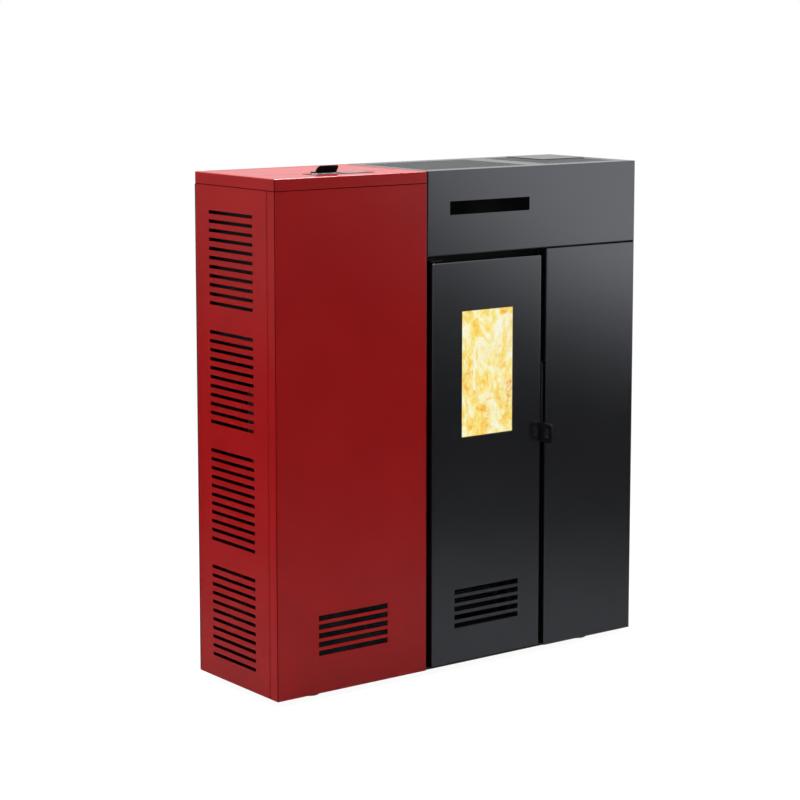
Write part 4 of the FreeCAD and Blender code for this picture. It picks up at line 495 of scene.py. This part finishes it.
def blaze(shape):
    """The body of the fire: it leaves the pot's rim, spreads to the chamber's walls and ends in a crown."""
    middle = Vector((sum(CHAMBER_X) / 2, sum(CHAMBER_Y) / 2, 0.0))
    half_x = FLAME_FILL * (CHAMBER_X[1] - CHAMBER_X[0]) / 2
    half_y = FLAME_FILL * (CHAMBER_Y[1] - CHAMBER_Y[0]) / 2
    heights = [(FLAME_FOOT, 0.0, 1.0), (POT_RIM, 0.0, RIM_FLARE)]
    heights += [(level, spread, 1.0) for level, spread in FLAME_BOWL]
    for i in range(BLAZE_STEPS):
        heights.append((FLAME_SPREAD + (FLAME_TOP - FLAME_SPREAD) * i / (BLAZE_STEPS - 1), 1.0, 1.0))
    heights.append((FLAME_TOP, 1.0, TOP_CLOSING))
    rings = []
    for level, spread, closing in heights:
        core = POT + (middle - POT) * spread
        ring = []
        for k in range(BLAZE_SIDES):
            a = 2 * math.pi * k / BLAZE_SIDES
            c, s = math.cos(a), math.sin(a)
            square = (abs(c) ** BLAZE_SQUARE + abs(s) ** BLAZE_SQUARE) ** (-1 / BLAZE_SQUARE)
            flat = 1 - (min(abs(c), abs(s)) / max(abs(c), abs(s))) ** 2
            wave = 1 - flat * sum(deep * (1 + math.sin(turns * a + drift * level))
                                  for turns, drift, deep in BLAZE_WAVES)
            reach_x = POT_RADIUS + (half_x * wave * square - POT_RADIUS) * spread
            reach_y = POT_RADIUS + (half_y * wave * square - POT_RADIUS) * spread
            ring.append(shape.verts.new((within(core.x + reach_x * closing * c, CHAMBER_X),
                                         within(core.y + reach_y * closing * s, CHAMBER_Y), level)))
        rings.append(ring)
    skin(shape, rings)


def astray(size):
    """A random step to either side, within a size."""
    return size * (draw.random() - 0.5)


def up_from(span):
    """A random value above a least one: the least and the most that is added."""
    return span[0] + span[1] * draw.random()


def pellet(shape, middle):
    """A glowing pellet: a short rod with dulled ends, turned and tilted at random."""
    turn = 2 * math.pi * draw.random()
    tilt = astray(PELLET_TILT)
    along = Vector((math.cos(turn) * math.cos(tilt), math.sin(turn) * math.cos(tilt), math.sin(tilt)))
    side = along.orthogonal().normalized()
    other = along.cross(side)
    half_length = up_from(PELLET_HALF)
    rings = []
    for end, radius in PELLET_ENDS:
        ring = []
        for n in range(PELLET_SIDES):
            a = 2 * math.pi * n / PELLET_SIDES
            out = (side * math.cos(a) + other * math.sin(a)) * radius
            ring.append(shape.verts.new(middle + along * half_length * end + out))
        rings.append(ring)
    skin(shape, rings)


def pellets(shape):
    """Glowing pellets heaped in the burn pot."""
    half = (PELLETS_ACROSS - 1) / 2
    for layer in range(PELLET_LAYERS):
        level = EMBER_FLOOR + EMBER_LIFT + layer * LAYER_RISE
        for i in range(PELLETS_ACROSS):
            for k in range(PELLETS_ACROSS):
                x = POT.x + (i - half) * PELLET_PITCH + astray(PELLET_STRAY)
                y = POT.y + (k - half) * PELLET_PITCH + astray(PELLET_STRAY)
                pellet(shape, Vector((x, y, level)))


draw = random.Random(FIRE_SEED)
show("ember_bed", pellets, "embers", "stove")
show("flame_body", blaze, "fire_0", "stove")
spots = [(x, y) for y in TONGUE_ROWS for x in TONGUE_COLUMNS]
for i, (x, y) in enumerate(spots):
    start = POT + (Vector((x, y, 0.0)) - POT) * TONGUE_ROOT
    foot = Vector((start.x, start.y, POT_RIM))
    belly = Vector((x + (x - POT.x) * TONGUE_LEAN, y + (y - POT.y) * TONGUE_LEAN, up_from(BELLY_LEVEL)))
    crown = FRONT_CROWN if y == TONGUE_ROWS[0] else FLAME_TOP
    tip = Vector((x + astray(TIP_STRAY[0]), y + astray(TIP_STRAY[1]), crown - TIP_DROP * draw.random()))
    rising = tongue(foot, belly, tip, up_from(TONGUE_RADIUS))
    show(f"flame_{i}", rising, f"fire_{i % FIRES}", "stove")
lick = tongue(*(Vector(point) for point in LICK_LINE), LICK_RADIUS)
show("flame_lick", lick, "red_fire", "stove")

# Touch glass: a display window and generic marks, printed on the glass

def plate(outline, foot=TOUCH_LEVEL, head=TOUCH_LEVEL + TOUCH_HEIGHT, upright=False):
    """An outline raised from one level to another; an upright one lies in x and z."""
    def corner(a, b, level):
        return (a, level, b) if upright else (a, b, level)

    def build(shape):
        low = [shape.verts.new(corner(a, b, foot)) for a, b in outline]
        high = [shape.verts.new(corner(a, b, head)) for a, b in outline]
        walls(shape, low, high)
        shape.faces.new(low[::-1])
        shape.faces.new(high)
        bmesh.ops.recalc_face_normals(shape, faces=shape.faces[:])
    return build


def rounded(centre, width, height, radius, steps=6):
    """A rectangle's outline with round corners."""
    points = []
    for corner, (sx, sy) in enumerate(((1, 1), (-1, 1), (-1, -1), (1, -1))):
        for i in range(steps + 1):
            a = math.pi / 2 * (corner + i / steps)
            points.append((centre[0] + sx * (width / 2 - radius) + radius * math.cos(a),
                           centre[1] + sy * (height / 2 - radius) + radius * math.sin(a)))
    return points


def arc(centre, radius, wide, start, end, steps=28):
    """A flat band along an arc."""
    points = []
    for reach, order in ((radius, range(steps + 1)), (radius - wide, range(steps, -1, -1))):
        for i in order:
            a = start + (end - start) * i / steps
            points.append((centre[0] + reach * math.cos(a), centre[1] + reach * math.sin(a)))
    return points


def mark(x, rise, width, height):
    """A bar's outline, at a rise above the row of marks."""
    return rounded((x, MARK_ROW + rise), width, height, MARK_ROUND)


display = rounded(DISPLAY_PLACE, *DISPLAY_SIZE, DISPLAY_ROUND)
show("touch_display", plate(display), "touch_screen", "stove")
MARKS = {
    "touch_power_arc": arc((POWER_X, MARK_ROW), POWER_RADIUS, POWER_LINE, *POWER_ARC),
    "touch_power_bar": mark(POWER_X, BAR_RISE, POWER_LINE, BAR_LENGTH),
    "touch_less": mark(LESS_X, 0.0, MARK_LENGTH, MARK_LINE),
    "touch_more_across": mark(MORE_X, 0.0, MARK_LENGTH, MARK_LINE),
    "touch_more_low": mark(MORE_X, -ARM_RISE, MARK_LINE, ARM_LENGTH),
    "touch_more_high": mark(MORE_X, ARM_RISE, MARK_LINE, ARM_LENGTH),
}
for name, outline in MARKS.items():
    show(name, plate(outline), "touch_print", "stove")

# Painted shade: dark red strips in the casing's seams and a dark red film along its corner, black strips
# beside and above the right panel

side_low, side_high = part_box("left_side_panel")
front_low, front_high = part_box("hopper_front_panel")
cover_low, cover_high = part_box("hopper_top_cover")
right_low, right_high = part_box("right_front_panel")
seam = side_low[1] - front_high[1]
shade_strip_depth = SHADE_STRIP_RECESS + SHADE_STRIP_THICKNESS / 2


def shade_hem(near, corner, front, back):
    """A strip's outline along a front face to a corner and back along the return."""
    points = []
    for depth in (SHADE_STRIP_RECESS, SHADE_STRIP_RECESS + SHADE_STRIP_THICKNESS):
        turn = corner + math.copysign(depth, near - corner)
        leg = [(near, front + depth), (turn, front + depth), (turn, back)]
        points += leg[::-1] if points else leg
    return points


def upright_shade_strip(x, y):
    """A strip's outline in an upright seam that starts at y."""
    return rounded((x, y + seam / 2), SHADE_STRIP_THICKNESS, seam, SHADE_STRIP_ROUND)


left_shade_strip = upright_shade_strip(side_low[0] + shade_strip_depth, front_high[1])
right_shade_strip = upright_shade_strip(right_high[0] - shade_strip_depth, right_high[1])
cover_shade_strip = shade_hem(front_high[0], front_low[0], front_low[1], side_high[1])
fascia_seal = shade_hem(right_low[0], right_high[0], right_low[1], right_high[1])
bend_centre = (front_low[0] + CORNER_RADIUS, front_low[1] + CORNER_RADIUS)
corner_shade_film = arc(bend_centre, CORNER_RADIUS + CORNER_SHADE_FILM, CORNER_SHADE_FILM, *CORNER_TURN)
# Each strip paints shade into a seam, and the corner film paints a shadow line on the bend
SHADE_STRIPS = {
    "seam_seal": (left_shade_strip, side_low[2], side_high[2], "seam_seal"),
    "cover_shade_strip": (cover_shade_strip, front_high[2], cover_low[2], "seam_seal"),
    "corner_shade_film": (corner_shade_film, front_low[2], front_high[2], "seam_seal"),
    "cover_corner_shade_film": (corner_shade_film, cover_low[2], cover_high[2] - CORNER_RADIUS, "seam_seal"),
    "fascia_seal": (fascia_seal, right_high[2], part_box("fascia_panel")[0][2], "fascia_seal"),
    "right_seam_shade_strip": (right_shade_strip, right_low[2], right_high[2], "fascia_seal"),
}
for name, (outline, foot, head, look) in SHADE_STRIPS.items():
    show(name, plate(outline, foot, head), look, "stove")

# Painted shade: black sheets behind the vents in the hopper casing's front and back, so the vents read dark

front_face = front_low[1] + SHEET
back_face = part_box("hopper_back_panel")[0][1]
VENT_SHADES = {
    "front_vent_shade": (FRONT_VENT_SHADE, front_face, front_face + VENT_SHADE_DEPTH),
    "back_vent_shade": (BACK_VENT_SHADE, back_face - VENT_SHADE_DEPTH, back_face),
}
for name, ((middle, extent), near_y, far_y) in VENT_SHADES.items():
    outline = rounded(middle, *extent, VENT_SHADE_ROUND)
    show(name, plate(outline, near_y, far_y, True), "filter_foam", "stove")

# Floor: pale paper, veiled white for the camera, with a brightness of its own for gloss

floor_mesh = bpy.data.meshes.new("floor")
half = FLOOR_SIZE / 2
corners = [(-half, -half, 0), (half, -half, 0), (half, half, 0), (-half, half, 0)]
floor_mesh.from_pydata(corners, [], [(0, 1, 2, 3)])
floor = bpy.data.objects.new("floor", floor_mesh)
scene.collection.objects.link(floor)


def greys(stops, low=0.0, high=1.0):
    """Grey stops of a ramp over a range."""
    return [((where - low) / (high - low), (grey, grey, grey)) for where, grey in stops]


paper = Finish("floor_paper")
paper.feed(Base_Color=paper.ramp(paper.noise(PAPER_MOTTLE), greys(PAPER_GREYS)),
           Roughness=0.9, Specular_IOR_Level=0.0)
distance = paper.vectors("LENGTH", "Value", paper.place)
slant = paper.vectors("DOT_PRODUCT", "Value", paper.place, (1.0, FAR_SLANT, 0.0))
near = paper.ramp(paper.spread(distance, 0.0, 1.0, 0.0, NEAR_REACH), greys(NEAR_FLOOR, 0.0, NEAR_REACH))
far = paper.ramp(paper.spread(slant, 0.0, 1.0, *FAR_SPAN), greys(FAR_FLOOR, *FAR_SPAN))
lift = paper.maths("MULTIPLY", paper.spread(distance, 0.0, 1.0, *FAR_GATE),
                   paper.spread(distance, *FAR_LIFT, *LIFT_SPAN))
bright = paper.vectors("MULTIPLY_ADD", "Vector", far, lift, near)
veil = paper.maths("MULTIPLY", paper.rays(SEEN_RAYS), paper.spread(distance, *FLOOR_VEIL, *VEIL_SPAN))
glow = paper.add("ShaderNodeEmission", Color=WHITE, Strength=1.0)
mirror = paper.add("ShaderNodeEmission", Color=bright, Strength=1.0)
seen = paper.mix(veil, paper.shader.outputs[0], glow.outputs[0])
paper_end = paper.tree.nodes["Material Output"].inputs["Surface"]
paper.put(paper_end, paper.mix(paper.rays(GLOSS_RAYS), seen, mirror.outputs[0]))
dress(floor, paper.material)

# World: even light, a white backdrop for the camera and a dome for gloss

world = bpy.data.worlds.new("studio")
scene.world = world
world.use_nodes = True
sky = Nodes(world.node_tree)
ambient = sky.tree.nodes["Background"]
sky.put(ambient.inputs["Color"], WHITE)
sky.put(ambient.inputs["Strength"], STUDIO_LIGHT)
backdrop = sky.add("ShaderNodeBackground", Color=WHITE, Strength=1.0)
direction = sky.add("ShaderNodeTexCoord").outputs["Generated"]
height = sky.add("ShaderNodeSeparateXYZ", Vector=direction).outputs["Z"]
dome = sky.add("ShaderNodeBackground", Color=sky.ramp(height, greys(SKY_GLOSS)), Strength=1.0)
either = sky.mix(sky.rays(SEEN_RAYS), ambient.outputs[0], backdrop.outputs[0])
sky_end = sky.tree.nodes["World Output"].inputs["Surface"]
sky.put(sky_end, sky.mix(sky.rays(GLOSS_RAYS), either, dome.outputs[0]))


def softbox(name, place, aim, size, power, mirrored):
    """A rectangular soft light turned to what it lights."""
    lamp = bpy.data.lights.new(name, "AREA")
    lamp.shape = "RECTANGLE"
    lamp.size, lamp.size_y = size
    lamp.energy = power
    rig = bpy.data.objects.new(name, lamp)
    rig.location = place
    rig.rotation_euler = (Vector(aim) - Vector(place)).to_track_quat("-Z", "Y").to_euler()
    rig.visible_glossy = mirrored
    scene.collection.objects.link(rig)


for name, rig in SOFTBOXES.items():
    softbox(name, *rig)

lens = bpy.data.cameras.new("camera")
lens.sensor_width = SENSOR
lens.lens = SENSOR * FOCAL_PIXELS / FRAME_PIXELS
lens.shift_y = CAMERA_SHIFT
lens.clip_end = CAMERA_REACH
camera = bpy.data.objects.new("camera", lens)
camera.location = CAMERA_PLACE
camera.rotation_euler = (math.pi / 2 - CAMERA_PITCH, 0.0, -CAMERA_YAW)
scene.collection.objects.link(camera)
scene.camera = camera
